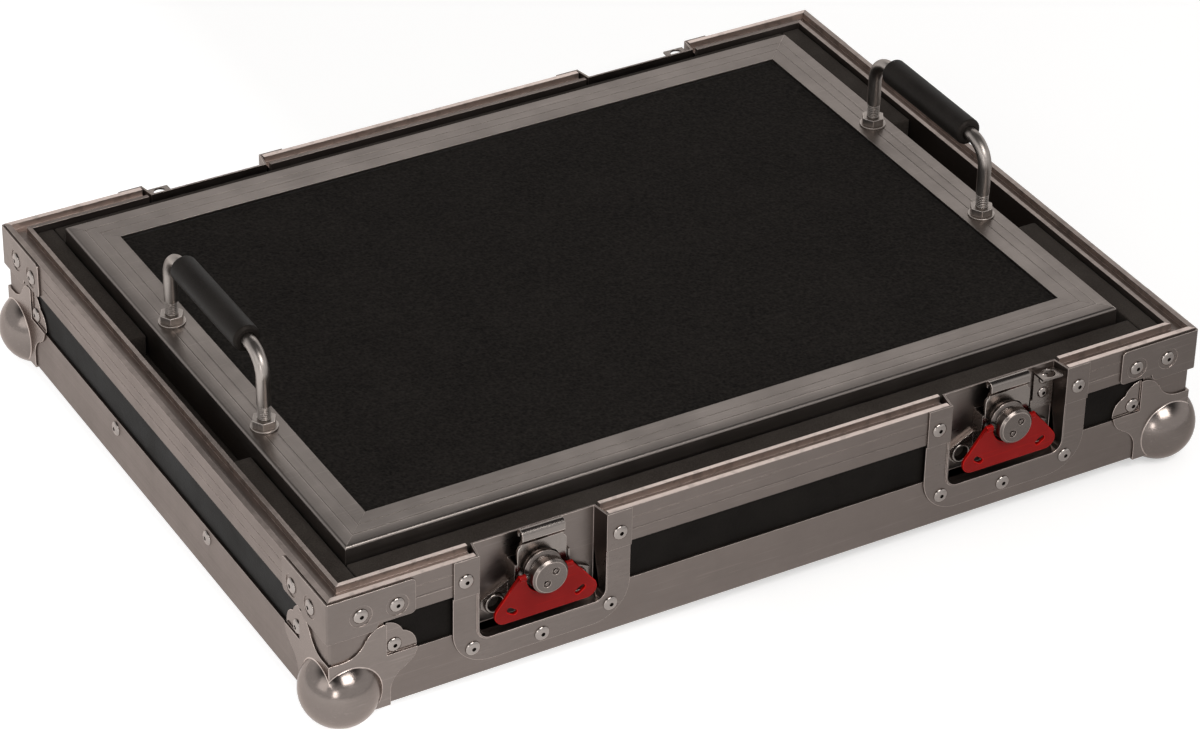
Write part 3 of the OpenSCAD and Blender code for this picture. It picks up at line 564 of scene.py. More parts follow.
def body_of_node(node: str) -> str:
    """Returns the name of the body that a node belongs to."""
    bodies = frame["record"]["behaviour"]["bodies"]
    return next(body for body, members in bodies.items() if node in members)


def finish_piece(thing: Object, finish: Finish, body: str, nodes: Sequence[str] = ()) -> Object:
    """Gives a piece its material, its grain where it has none and its body, and hides the nodes that it stands for.

    Args:
        thing: The piece.
        finish: Its finish.
        body: Body that it rides on.
        nodes: Nodes that it replaces.

    Returns:
        The piece.
    """
    thing.data.materials.clear()
    thing.data.materials.append(finish.material())
    if "grain" not in thing.data.attributes:
        mark_grain(thing.data, Run.X)
    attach(thing, body)
    if nodes:
        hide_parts(*nodes)
    LOG.info("%s: %d faces on %s", thing.name, len(thing.data.polygons), body)
    return thing


def shell_from(bm: BMesh, name: str) -> Object:
    """Turns a BMesh into a smooth object and frees it.

    Args:
        bm: Mesh to use.
        name: Name of the object.

    Returns:
        The object.
    """
    mesh = bpy.data.meshes.new(name)
    bm.to_mesh(mesh)
    bm.free()
    mesh.shade_smooth()
    return link(name, mesh)


def join_rows(bm: BMesh, rows: Sequence[Sequence[BMVert]]) -> None:
    """Joins rows of points by four-cornered faces.

    Args:
        bm: Mesh that holds them.
        rows: The rows, all with as many points.
    """
    for near, far in zip(rows, rows[1:]):
        for j in range(len(near) - 1):
            bm.faces.new((near[j], far[j], far[j + 1], near[j + 1]))


# Edges that turn by less than this lie within one flat face, whose points stay apart by more than the gap in
# millimetres when it is cut.
FLAT_ANGLE = math.radians(0.4)
CUT_GAP = 1e-5
# How much of a rounded piece may lie folded over itself, in square millimetres, and the shares of the rounding's
# width that are tried in turn until it is less.
FOLD_LIMIT = 20.0
TRIES = (1.0, 0.6, 0.35, 0.2)


def surfaces(bm: BMesh, joins: Callable[[BMEdge], bool]) -> list[list[BMFace]]:
    """Groups faces into surfaces.

    Args:
        bm: Mesh with merged points.
        joins: Tells whether the faces on both sides of an edge belong together.

    Returns:
        The faces of each surface.
    """
    found: list[list[BMFace]] = []
    seen: set[BMFace] = set()
    for first in bm.faces:
        if first in seen:
            continue
        surface = [first]
        seen.add(first)
        for face in surface:
            for edge in face.edges:
                if joins(edge):
                    fresh = [other for other in edge.link_faces if other not in seen]
                    seen.update(fresh)
                    surface.extend(fresh)
        found.append(surface)
    return found


def cut_anew(faces: Sequence[BMFace]) -> list[tuple[BMVert, ...]] | None:
    """Cuts a flat face into well-shaped triangles.

    Args:
        faces: The faces that it is split into now.

    Returns:
        The corners of each triangle, or None where its outline crosses itself.
    """
    members = set(faces)
    sides = [(loop.vert, loop.link_loop_next.vert) for face in faces for loop in face.loops
             if sum(other in members for other in loop.edge.link_faces) == 1]
    corners = list(dict.fromkeys(vert for side in sides for vert in side))
    place = {vert: n for n, vert in enumerate(corners)}
    turn = max(faces, key=lambda face: face.calc_area()).normal.to_track_quat("Z", "Y").inverted()
    outline = {(place[one], place[two]) for one, two in sides}
    spots = [(turn @ vert.co).xy / MM for vert in corners]
    verts, _, triangles, origins, _, _ = delaunay_2d_cdt(spots, list(outline), [], 0, CUT_GAP)
    if len(verts) != len(corners) or any(len(origin) != 1 for origin in origins):
        return None
    triangles = [[origins[n][0] for n in triangle] for triangle in triangles]
    owner = {(t[n], t[(n + 1) % 3]): number for number, t in enumerate(triangles) for n in range(3)}
    if any(side not in owner for side in outline):
        return None
    inside = {owner[side] for side in outline}
    stack = sorted(inside)
    while stack:
        t = triangles[stack.pop()]
        for side in zip(t, (*t[1:], t[0])):
            other = owner.get((side[1], side[0]))
            if side not in outline and other is not None and other not in inside:
                inside.add(other)
                stack.append(other)
    return [tuple(corners[n] for n in triangles[number]) for number in sorted(inside)]


def flat_faces(bm: BMesh) -> list[list[BMFace]]:
    """Returns the parts of each flat face that has more than four corners."""
    flats = surfaces(bm, lambda edge: edge.calc_face_angle(1.0) < FLAT_ANGLE)
    return [faces for faces in flats if len(faces) > 1 or len(faces[0].verts) > 4]


def recut(bm: BMesh, flats: Sequence[Sequence[BMFace]]) -> None:
    """Cuts flat faces into well-shaped triangles.

    Args:
        bm: Mesh that holds them.
        flats: The parts of each flat face.
    """
    cuts = [(faces, cut_anew(faces)) for faces in flats]
    bmesh.ops.delete(bm, geom=[face for faces, cut in cuts if cut for face in faces], context="FACES_ONLY")
    for corners in (corners for _, cut in cuts for corners in cut or ()):
        bm.faces.new(corners)
    bmesh.ops.delete(bm, geom=[edge for edge in bm.edges if not edge.link_faces], context="EDGES")
    bm.normal_update()


@dataclass(frozen=True)
class Easing:
    """How a node's hard edges are rounded.

    Attributes:
        width: Width of the rounding.
        segments: Faces across the rounding.
        angle: Least angle, in degrees, of an edge that is rounded.
        spare: How much wider than the rounding the strip beside it is.
        least: Narrowest strip that is worth making.
        room: Largest share of a surface that the strips in it may take.
        worn_and_lit: Gives how much lighter a face is by its middle, with scuffing and painted highlight, or None.
    """

    width: float
    segments: int = 2
    angle: float = 28.0
    spare: float = 1.6
    least: float = 0.02 * MM
    room: float = 0.8
    worn_and_lit: Callable[[Vector], float] | None = None

    def is_hard(self, edge: BMEdge) -> bool:
        """Returns whether an edge is to be rounded."""
        return len(edge.link_faces) == 2 and edge.calc_face_angle(0.0) > math.radians(self.angle)

    def line_edges(self, bm: BMesh) -> None:
        """Lays a narrow strip along both sides of every hard edge, across which the rounding can slide squarely.

        Args:
            bm: Mesh with merged points.
        """
        flats = flat_faces(bm)
        for surface in surfaces(bm, lambda edge: not self.is_hard(edge)):
            reach = sum(edge.calc_length() for face in surface for edge in face.edges if self.is_hard(edge))
            if reach > 0:
                strip = min(self.spare * self.width, self.room * sum(face.calc_area() for face in surface) / reach)
                if strip > self.least:
                    bmesh.ops.inset_region(bm, faces=surface, use_boundary=True, use_even_offset=False, thickness=strip)
        recut(bm, flats)

    def mark(self, bm: BMesh) -> None:
        """Writes on each hard edge how far it can be rounded, as a share of the full width.

        Args:
            bm: Mesh with strips along its hard edges.
        """
        shares = bm.edges.layers.float.new("bevel_weight_edge")
        for edge in bm.edges:
            if self.is_hard(edge):
                length = max(edge.calc_length(), 1e-7)
                room = min(face.calc_area() / length for face in edge.link_faces) / self.spare
                edge[shares] = min(1.0, room / self.width)


def flat_normals(mesh: Mesh) -> None:
    """Gives the points of a rounded mesh the normals of the surfaces that the roundings join.

    Args:
        mesh: Mesh with roundings as material 1.
    """
    bm = bmesh.new()
    bm.from_mesh(mesh)
    aims: list[Vector] = []
    for vert in bm.verts:
        flats = [loop.face.normal * loop.calc_angle() for loop in vert.link_loops if loop.face.material_index == 0]
        parts = flats or [loop.face.normal * loop.face.calc_area() / MM ** 2 for loop in vert.link_loops]
        aims.append(sum(parts, Vector()).normalized())
    bm.free()
    mesh.normals_split_custom_set_from_vertices(aims)


def folded_area(mesh: Mesh) -> float:
    """Returns how much of a mesh lies folded over itself, in square millimetres."""
    mesh.calc_loop_triangles()
    return (sum(part.area for part in mesh.loop_triangles) - sum(face.area for face in mesh.polygons)) / MM ** 2


def rounded_copy(node: str, finish: Finish, easing: Easing) -> Object:
    """Makes a copy of a node with rounded edges.

    Args:
        node: Name of the node.
        finish: Finish of the piece.
        easing: How its edges are rounded.

    Returns:
        The copy, with its roundings as material 1.
    """
    bm = merged(node, within=2e-6)
    bmesh.ops.dissolve_limit(bm, angle_limit=FLAT_ANGLE, verts=bm.verts, edges=bm.edges)
    recut(bm, flat_faces(bm))
    easing.line_edges(bm)
    easing.mark(bm)
    thing = shell_from(bm, node + "_soft")
    for _ in range(2):
        thing.data.materials.append(finish.material())
    bevel = thing.modifiers.new("round", "BEVEL")
    bevel.width = easing.width
    bevel.segments = easing.segments
    bevel.limit_method = "WEIGHT"
    bevel.use_clamp_overlap = False
    bevel.material = 1
    return settled(thing)


def soften(node: str, finish: Finish, easing: Easing, run: Run = Run.X) -> Object:
    """Makes a piece with rounded edges that stands for a node.

    Args:
        node: Name of the node.
        finish: Finish of the piece.
        easing: How its edges are rounded, as far as its narrow places leave room.
        run: Axis of the metal's grain.

    Returns:
        The piece.
    """
    tries = []
    for share in TRIES:
        thing = rounded_copy(node, finish, replace(easing, width=easing.width * share))
        tries.append((folded_area(thing.data), thing))
        if tries[-1][0] < FOLD_LIMIT:
            break
    fold, thing = min(tries, key=lambda row: row[0])
    for _, other in tries:
        if other is not thing:
            bpy.data.objects.remove(other)
    thing.name = node + "_soft"
    LOG.info("%s folds %.1f square mm after %d tries", node, fold, len(tries))
    rounded = thing.data
    flat_normals(rounded)
    # Rounded faces, and the faces that the easing picks such as rim lips, are marked to be lighter: scuffing and
    # painted highlight.
    on_edge = [1.0 if face.material_index else easing.worn_and_lit(face.center) if easing.worn_and_lit else 0.0
               for face in rounded.polygons]
    rounded.attributes.new("edge", "FLOAT", "FACE").data.foreach_set("value", on_edge)
    rounded.polygons.foreach_set("material_index", [0] * len(rounded.polygons))
    mark_grain(rounded, run)
    return finish_piece(thing, finish, body_of_node(node), [node])


def points_tree(name: str, inputs: dict[str, str], setting: Callable[[Tree, Sockets], Sockets]) -> NodeTree:
    """Builds a geometry node tree that sets a shape on every point and gives it a material.

    Args:
        name: Name of the tree.
        inputs: Socket type of each input besides Geometry and Finish.
        setting: Gives the shape, its turn and its size from the inputs, by the names of Instance on Points.

    Returns:
        The tree.
    """
    shape = {"Geometry": "Geometry"}
    tree, given, out = new_group(name, "Geometry", {**shape, **inputs, "Finish": "Material"}, shape)
    points = tree.add("GeometryNodeInstanceOnPoints", {"Points": given["Geometry"], **setting(tree, given)})
    real = tree.add("GeometryNodeRealizeInstances", {0: points.outputs[0]})
    dressed = tree.add("GeometryNodeSetMaterial", {"Geometry": real.outputs[0], "Material": given["Finish"]})
    tree.feed(out["Geometry"], dressed.outputs[0])
    return tree.tree


def run_tree(name: str, spots: Sequence[Vector], tree: NodeTree, values: dict[str, object],
             aims: Sequence[Vector] = ()) -> Object:
    """Runs a geometry node tree on some points and keeps what it makes as a plain mesh.

    Args:
        name: Name of the new object.
        spots: The points.
        tree: The tree.
        values: The tree's inputs by name.
        aims: Direction of each point.

    Returns:
        The object.
    """
    mesh = bpy.data.meshes.new(name)
    mesh.from_pydata([tuple(spot) for spot in spots], [], [])
    if aims:
        layer = mesh.attributes.new("aim", "FLOAT_VECTOR", "POINT")
        layer.data.foreach_set("vector", [part for aim in aims for part in aim])
    thing = link(name, mesh)
    modifier = thing.modifiers.new("made by nodes", "NODES")
    modifier.node_group = tree
    sockets = {item.name: item.identifier for item in tree.interface.items_tree if item.in_out == "INPUT"}
    for label, value in values.items():
        modifier[sockets[label]] = value
    settled(thing)
    thing.data.shade_smooth()
    return thing


@dataclass(frozen=True)
class RivetPattern:
    """Blind rivet: a low dome round a sunk mandrel hole with the mandrel's stub in it.

    Attributes:
        head_r: Radius of the head.
        head_h: Height of the head.
        hole_r: Radius of the mandrel hole.
        hole_h: Depth of the hole.
        flange_h: Height of the head's square edge.
        reach: Length of the shank that is kept.
        sides: Faces round the head.
        dome: Angles from the axis, in degrees, of the dome's rings.
        rim: Radius and height of the rings round the hole's mouth, as shares of the hole's radius and head's height.
        edge: Largest radius of the hole's mouth, as a share of the hole's radius.
        shank: Radius of the shank, as a share of the head's.
        foot: Radius of the head's underside and height of its bevel, as shares of the head's and the square edge's.
        sink: How far the shank's end lies under the head.
        stub: Radius, as a share of the hole's, and height above the hole's floor of the rings of the mandrel's stub.
    """

    head_r: float
    head_h: float
    hole_r: float = 1.2 * MM
    hole_h: float = 1.3 * MM
    flange_h: float = 0.3 * MM
    reach: float = 1.5 * MM
    sides: int = 28
    dome: tuple[float, ...] = (86, 72, 58, 46, 36, 28)
    rim: tuple[tuple[float, float], ...] = ((1.28, 0.985), (1.06, 0.93), (1.0, 0.8))
    edge: float = 1.35
    shank: float = 0.55
    foot: tuple[float, float] = (0.96, 0.4)
    sink: float = 0.02 * MM
    stub: tuple[tuple[float, float], ...] = ((0.97, 0.0), (0.62, 0.12 * MM), (0.0, 0.2 * MM))

    def shape(self) -> Object:
        """Builds one rivet, head up, on the origin.

        Returns:
            The rivet's object, to be removed after use.
        """
        rise = self.head_h - self.flange_h
        dome = [(self.head_r * math.sin(t), self.flange_h + rise * math.cos(t)) for t in map(math.radians, self.dome)]
        hole, low = self.hole_r, self.head_h - self.hole_h
        shank, (foot, bevel) = self.head_r * self.shank, self.foot
        profile = [(shank, -self.reach), (shank, -self.sink), (self.head_r * foot, 0.0),
                   (self.head_r, self.flange_h * bevel)]
        profile += [(r, h) for r, h in dome if r > hole * self.edge]
        inside = len(profile) + 1
        profile += [(hole * r, self.head_h * h) for r, h in self.rim]
        profile += [(hole * r, low + h) for r, h in self.stub]
        bm = bmesh.new()
        # Faces inside the mandrel hole are marked for painted shade.
        hole_shade = bm.faces.layers.float.new("hole_shade")
        around = [math.tau * n / self.sides for n in range(self.sides)]
        rings = [[bm.verts.new((r * math.cos(a), r * math.sin(a), h)) for a in (around if r > 0 else [0.0])]
                 for r, h in profile]
        for level, (lower, upper) in enumerate(zip(rings, rings[1:])):
            for n in range(self.sides):
                other = (n + 1) % self.sides
                corners = [lower[n], lower[other], *([upper[other], upper[n]] if len(upper) > 1 else [upper[0]])]
                bm.faces.new(corners)[hole_shade] = 1.0 if level > inside else 0.0
        bm.faces.new(list(reversed(rings[0])))
        bmesh.ops.recalc_face_normals(bm, faces=bm.faces)
        return shell_from(bm, "rivet_shape")

    def places(self, node: str) -> tuple[list[Vector], list[Vector]]:
        """Reads where a node's rivets sit and which way they face.

        Args:
            node: Name of the rivet node.

        Returns:
            The centres of the heads' undersides and the outward directions.
        """
        low, high = CAD_BOX
        spots, aims = [], []
        for points in islands(node):
            middle = sum(span(points), Vector()) / 2
            gaps = [(middle.x - low.x, (-1, 0, 0)), (high.x - middle.x, (1, 0, 0)), (middle.y - low.y, (0, -1, 0)),
                    (high.y - middle.y, (0, 1, 0)), (middle.z - low.z, (0, 0, -1))]
            aim = Vector(min(gaps, key=lambda gap: gap[0])[1])
            outer = max(point.dot(aim) for point in points)
            spots.append(middle + aim * (outer - self.head_h - middle.dot(aim)))
            aims.append(aim)
        return spots, aims


@dataclass
class Rivets:
    """Every rivet node of the case.

    Attributes:
        large: Rivet of the case's own steel.
        small: Rivet of the eye brackets.
        spread: Share by which one rivet may be smaller than the next.
        sharp: Least angle, in degrees, of an edge that is left sharp.
    """

    large: RivetPattern = RivetPattern(4.7 * MM, 1.9 * MM)
    small: RivetPattern = RivetPattern(3.7 * MM, 1.5 * MM)
    spread: float = 0.02
    sharp: float = 50.0

    @staticmethod
    def setting(tree: Tree, given: Sockets) -> Sockets:
        """Turns each rivet to its point's aim, spins it about that and varies its size.

        Args:
            tree: Tree to add nodes to.
            given: The tree's inputs.

        Returns:
            Instance, Rotation and Scale.
        """
        info = tree.add("GeometryNodeObjectInfo", {"Object": given["Fastener"]})
        aim = tree.add("GeometryNodeInputNamedAttribute", {"Name": "aim"}, data_type="FLOAT_VECTOR")
        turn = tree.add("FunctionNodeAlignRotationToVector", {"Vector": aim.outputs["Attribute"]}, axis="Z")
        spin = tree.add("FunctionNodeRandomValue", {2: -math.pi, 3: math.pi, "Seed": given["Seed"]}, data_type="FLOAT")
        about = tree.add("FunctionNodeAxisAngleToRotation", {"Axis": (0, 0, 1), "Angle": spin.outputs[1]})
        both = {0: turn.outputs[0], 1: about.outputs[0]}
        whole = tree.add("FunctionNodeRotateRotation", both, rotation_space="LOCAL")
        least = tree.math("SUBTRACT", 1.0, given["Spread"])
        size = tree.add("FunctionNodeRandomValue", {2: least, 3: 1.0, "Seed": given["Seed"]}, data_type="FLOAT")
        return {"Instance": info.outputs["Geometry"], "Rotation": whole.outputs[0], "Scale": size.outputs[1]}

    def build(self) -> None:
        """Sets the rivets of each node with the tree and keeps them as plain meshes."""
        tree = points_tree("set fasteners", {"Fastener": "Object", "Seed": "Int", "Spread": "Float"}, self.setting)
        nodes = {f"{carrier}_rivets": self.large for carrier in ("brace", "ball", "band", "dish")}
        for seed, (node, pattern) in enumerate({**nodes, "eye_rivets": self.small}.items()):
            shape = pattern.shape()
            spots, aims = pattern.places(node)
            values = {"Fastener": shape, "Seed": seed, "Spread": self.spread, "Finish": RIVET.material()}
            thing = run_tree(node + "_set", spots, tree, values, aims)
            thing.data.set_sharp_from_angle(angle=math.radians(self.sharp))
            finish_piece(thing, RIVET, body_of_node(node), [node])
            bpy.data.objects.remove(shape)


@dataclass
class Walls:
    """Laminated plywood of the case.

    Attributes:
        panels: Names of the panels.
        easing: Rounding of the panels' edges.
    """

    panels: tuple[str, ...] = ("bottom_panel", "front_wall", "back_wall", "left_wall", "right_wall")
    easing: Easing = Easing(0.3 * MM, segments=1)

    def build(self) -> None:
        """Dresses the panels."""
        for node in self.panels:
            soften(node, LAMINATE, self.easing)


SIDE_RUNS = {"front": Run.X, "back": Run.X, "left": Run.Y, "right": Run.Y}
# Painted highlight on each rim's outer lip, inner lip and channel.
RIM_HIGHLIGHT = {"front": (2.6, 2.6, 2.6), "back": (2.6, 0.0, 2.6), "left": (0.44, 0.44, 2.2), "right": (0.44, 0.44, 2.2)}


@dataclass
class Extrusions:
    """Aluminium rims, edge angles and corner angles.

    Attributes:
        ease: Rounding of the drawn edges.
        lip: Height below the lips' tops that counts as a lip.
        depth: Height below the lips' tops down to which faces take painted highlight.
        margin: How far the faces with painted highlight keep from the rim's outer and inner faces.
    """

    ease: float = 0.3 * MM
    lip: float = 0.6 * MM
    depth: float = 4.2 * MM
    margin: float = 0.2 * MM

    def lit_lips(self, side: str, run: Run) -> Callable[[Vector], float]:
        """Tells where a rim takes painted highlight on its lips and in its channel.

        Args:
            side: Side of the case.
            run: Axis along the rim.

        Returns:
            A function that gives a face's painted highlight by its middle.
        """
        low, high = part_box(f"{side}_rim")
        axis = run.value[1]
        face, width = low[axis] if low[axis] < 0 else high[axis], high[axis] - low[axis]

        def worn_and_lit(middle: Vector) -> float:
            """Tells how much painted highlight a face takes: on the outer lip, the inner lip or in the channel between
            them.

            Args:
                middle: Middle of the face.

            Returns:
                Its wear.
            """
            inward, down = abs(middle[axis] - face), high.z - middle.z
            if down > self.depth or not self.margin < inward < width - self.margin:
                return 0.0
            outer, inner, channel = RIM_HIGHLIGHT[side]
            return channel if down > self.lip else outer if inward < width / 2 else inner

        return worn_and_lit

    def build(self) -> None:
        """Dresses each extrusion with its grain along it."""
        for side, run in SIDE_RUNS.items():
            soften(f"{side}_rim", EXTRUSION, Easing(self.ease, worn_and_lit=self.lit_lips(side, run)), run)
            soften(f"{side}_edge", EXTRUSION, Easing(self.ease), run)
        soften("corner_angles", EXTRUSION, Easing(2 * self.ease, segments=3), Run.Z)


@dataclass
class SteelWork:
    """Braces, ball corners, dishes and brackets.

    Attributes:
        sheet: Rounding of sheet edges.
        drawn: Rounding where a dish's flange turns into its recess.
        thin: Rounding of the brackets' and eyelets' thinner sheet.
    """

    sheet: float = 0.45 * MM
    drawn: float = 0.6 * MM
    thin: float = 0.3 * MM

    def build(self) -> None:
        """Dresses each stamping."""
        soften("corner_braces", STAMPED, Easing(self.sheet))
        soften("ball_corners", BALL_STEEL, Easing(self.sheet))
        for node in ("left_latch_dish", "right_latch_dish", "left_rear_dish", "right_rear_dish"):
            soften(node, STAMPED, Easing(self.drawn, segments=3))
        for node in ("front_eye", "left_rear_eye", "right_rear_eye", "left_base_plate", "right_base_plate"):
            soften(node, BRACKET, Easing(self.thin))
        soften("latch_eyelets", BRIGHT, Easing(self.thin))


@dataclass
class Latches:
    """Turn latches of both front dishes.

    Attributes:
        pieces: Finish, rounding and grain of each moving piece.
    """

    pieces: tuple[tuple[str, Finish, Easing, Run], ...] = (
        ("knob", KNOB, Easing(0.3 * MM), Run.Y), ("pin", BRIGHT, Easing(0.25 * MM), Run.X),
        ("wing", WING_RED, Easing(0.4 * MM, segments=3), Run.X), ("hook", BRIGHT, Easing(0.35 * MM), Run.Z))

    def build(self) -> None:
        """Dresses the moving pieces of both latches."""
        for side in ("left", "right"):
            for piece, finish, easing, run in self.pieces:
                soften(f"{side}_{piece}", finish, easing, run)


@dataclass
class FoamParts:
    """Foam lining, ledge and floor pad.

    Attributes:
        radius: Rounding of cut edges.
        step: Spacing of points on the skin.
        wobble: Unevenness of the skin.
        waves: Broad and fine waves of the skin, in a metre.
        fine_share: Height of the fine waves, as a share of the broad ones'.
        ends: Places of the rows of points in a rounding, as shares of its radius.
    """

    radius: float = 1.5 * MM
    step: float = 6.0 * MM
    wobble: float = 0.3 * MM
    waves: tuple[float, float] = (60.0, 260.0)
    fine_share: float = 0.4
    ends: tuple[float, ...] = (0.0, 0.3, 0.65)

    def block(self, low: Vector, high: Vector) -> BMesh:
        """Builds a closed block with round edges and a slightly uneven skin.

        Args:
            low: Lowest corner.
            high: Highest corner.

        Returns:
            The block in a new BMesh.
        """
        radius, lines = self.radius, []
        for i in range(3):
            size = high[i] - low[i]
            inner = size - 2 * radius
            count = max(1, math.ceil(inner / self.step))
            ends = [share * radius for share in self.ends]
            middle = [radius + inner * n / count for n in range(count + 1)]
            lines.append([low[i] + v for v in ends + middle + [size - e for e in reversed(ends)]])
        bm = bmesh.new()
        for axis in range(3):
            one, two = (i for i in range(3) if i != axis)
            for side in (low[axis], high[axis]):
                rows = []
                for a in lines[one]:
                    places = [[0.0, 0.0, 0.0] for _ in lines[two]]
                    for place, b in zip(places, lines[two]):
                        place[axis], place[one], place[two] = side, a, b
                    rows.append([bm.verts.new(place) for place in places])
                join_rows(bm, rows)
        bmesh.ops.remove_doubles(bm, verts=bm.verts, dist=1e-7)
        for vert in bm.verts:
            core = Vector(min(max(vert.co[i], low[i] + radius), high[i] - radius) for i in range(3))
            away = (vert.co - core).normalized()
            broad, fine = (0.5 + 0.5 * noise.noise(vert.co * wave) for wave in self.waves)
            vert.co = core + away * (radius - self.wobble * (broad + self.fine_share * fine))
        bmesh.ops.recalc_face_normals(bm, faces=bm.faces)
        return bm

    def build(self) -> None:
        """Replaces each foam node by blocks with soft edges."""
        for node in ("lining_front", "lining_back", "lining_left", "lining_right", "floor_pad"):
            whole = bmesh.new()
            for points in islands(node):
                part = bpy.data.meshes.new("part")
                block = self.block(*span(points))
                block.to_mesh(part)
                block.free()
                whole.from_mesh(part)
                bpy.data.meshes.remove(part)
            finish_piece(shell_from(whole, node + "_foam"), FOAM, "case", [node])
        soften("foam_ledge", FOAM, Easing(self.radius, segments=3))


@dataclass
class Threads:
    """Screw threads on the handles' feet, above the nuts.

    Attributes:
        core_r: Radius of the threaded foot.
        ridge_r: Radius of the thread's ridge.
        pitch: Rise of the thread in one turn.
        rise: Height of the thread's end above the board.
    """

    core_r: float = 3.6 * MM
    ridge_r: float = 0.42 * MM
    pitch: float = 1.25 * MM
    rise: float = 15.0 * MM

    @staticmethod
    def setting(tree: Tree, given: Sockets) -> Sockets:
        """Builds the helix that is set on every point.

        Args:
            tree: Tree to add nodes to.
            given: The tree's inputs.

        Returns:
            Instance.
        """
        helix = tree.add("GeometryNodeCurveSpiral", {
            "Resolution": 24, "Rotations": given["Turns"], "Start Radius": given["Radius"],
            "End Radius": given["Radius"], "Height": given["Height"]})
        ridge = tree.add("GeometryNodeCurvePrimitiveCircle", {"Resolution": 6, "Radius": given["Ridge"]})
        solid = tree.add("GeometryNodeCurveToMesh", {
            "Curve": helix.outputs[0], "Profile Curve": ridge.outputs[0], "Fill Caps": True})
        return {"Instance": solid.outputs[0]}

    def build(self) -> None:
        """Sets a thread on each foot, from its upper nut to the plain rod."""
        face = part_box("front_bar")[1].z
        nuts = [span(points) for points in islands("handle_nuts")]
        upper = [(low, high) for low, high in nuts if low.z > face]
        top = max(high.z for _, high in upper)
        height = face + self.rise - self.ridge_r - top
        spots = [Vector(((low.x + high.x) / 2, (low.y + high.y) / 2, top)) for low, high in upper]
        values = {"Radius": self.core_r, "Ridge": self.ridge_r, "Turns": height / self.pitch, "Height": height,
                  "Finish": ROD.material()}
        inputs = {label: "Float" for label in ("Radius", "Ridge", "Turns", "Height")}
        tree = points_tree("cut threads", inputs, self.setting)
        finish_piece(run_tree("foot_threads", spots, tree, values), ROD, "board")


@dataclass
class PedalBoard:
    """Lift-out board: panel, carpet, frame and handles.

    Attributes:
        pile_step: Spacing of the carpet's loops.
        pile_depth: Depth between the loops.
        waves: Level in the noise, and waves in a metre, of the broad and the fine waves of the pile.
        fine_share: Height of the fine waves, as a share of the broad ones'.
        fine: Rounding of the panel, rods and washers.
        bar: Rounding of the frame bars.
        grip: Rounding of the grips.
        nut: Rounding of the nuts.
    """

    pile_step: float = 1.7 * MM
    pile_depth: float = 0.45 * MM
    waves: tuple[tuple[float, float], ...] = ((0.0, 420.0), (0.3, 900.0))
    fine_share: float = 0.5
    fine: float = 0.3 * MM
    bar: float = 0.35 * MM
    grip: float = 0.8 * MM
    nut: float = 0.6 * MM

    def build(self) -> None:
        """Dresses the board."""
        soften("deck_panel", LAMINATE, Easing(self.fine, segments=1))
        for side, run in SIDE_RUNS.items():
            soften(f"{side}_bar", FRAME_BAR, Easing(self.bar), run)
        self.carpet()
        for side in ("left", "right"):
            soften(f"{side}_handle", ROD, Easing(self.fine, angle=40.0), Run.Z)
            soften(f"{side}_grip", RUBBER, Easing(self.grip, segments=3, angle=25.0), Run.Y)
        soften("handle_nuts", ROD, Easing(self.nut, segments=3), Run.Z)
        soften("handle_washers", ROD, Easing(self.fine))
        Threads().build()

    def carpet(self) -> None:
        """Builds the carpet's looped face over its backing."""
        low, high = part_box("deck_carpet")
        size = high - low
        nx, ny = (math.ceil(size[i] / self.pile_step) for i in range(2))
        bm = bmesh.new()
        rows = []
        for i in range(nx + 1):
            row = []
            for j in range(ny + 1):
                x, y = low.x + size.x * i / nx, low.y + size.y * j / ny
                broad, fine = (abs(noise.noise(Vector((x, y, level)) * wave)) for level, wave in self.waves)
                loops = broad + self.fine_share * fine
                inside = 0 < i < nx and 0 < j < ny
                row.append(bm.verts.new((x, y, high.z - (self.pile_depth * min(1.0, loops) if inside else 0.0))))
            rows.append(row)
        join_rows(bm, rows)
        rim = [edge for edge in bm.edges if edge.is_boundary]
        grown = bmesh.ops.extrude_edge_only(bm, edges=rim)["geom"]
        for vert in (item for item in grown if isinstance(item, BMVert)):
            vert.co.z = low.z
        bmesh.ops.holes_fill(bm, edges=[edge for edge in bm.edges if edge.is_boundary], sides=0)
        bmesh.ops.recalc_face_normals(bm, faces=bm.faces)
        pile = finish_piece(shell_from(bm, "carpet_pile"), CARPET, "board", ["deck_carpet"])


@dataclass(frozen=True)
class Lamp:
    """Rectangular soft lamp that faces the case.

    Attributes:
        name: Its name.
        place: Its centre in metres.
        size: Its width and height in metres.
        power: Its power in watts.
        colour: Its colour.
    """

    name: str
    place: tuple[float, float, float]
    size: tuple[float, float]
    power: float
    colour: Colour = WARM_WHITE

    def build(self) -> None:
        """Adds the lamp."""
        data = bpy.data.lights.new(self.name, "AREA")
        data.shape = "RECTANGLE"
        data.size, data.size_y = self.size
        data.energy = self.power
        data.color = self.colour
        turn = Vector(self.place).to_track_quat("Z", "Y").to_matrix().to_4x4()
        link(self.name, data).matrix_world = Matrix.Translation(self.place) @ turn


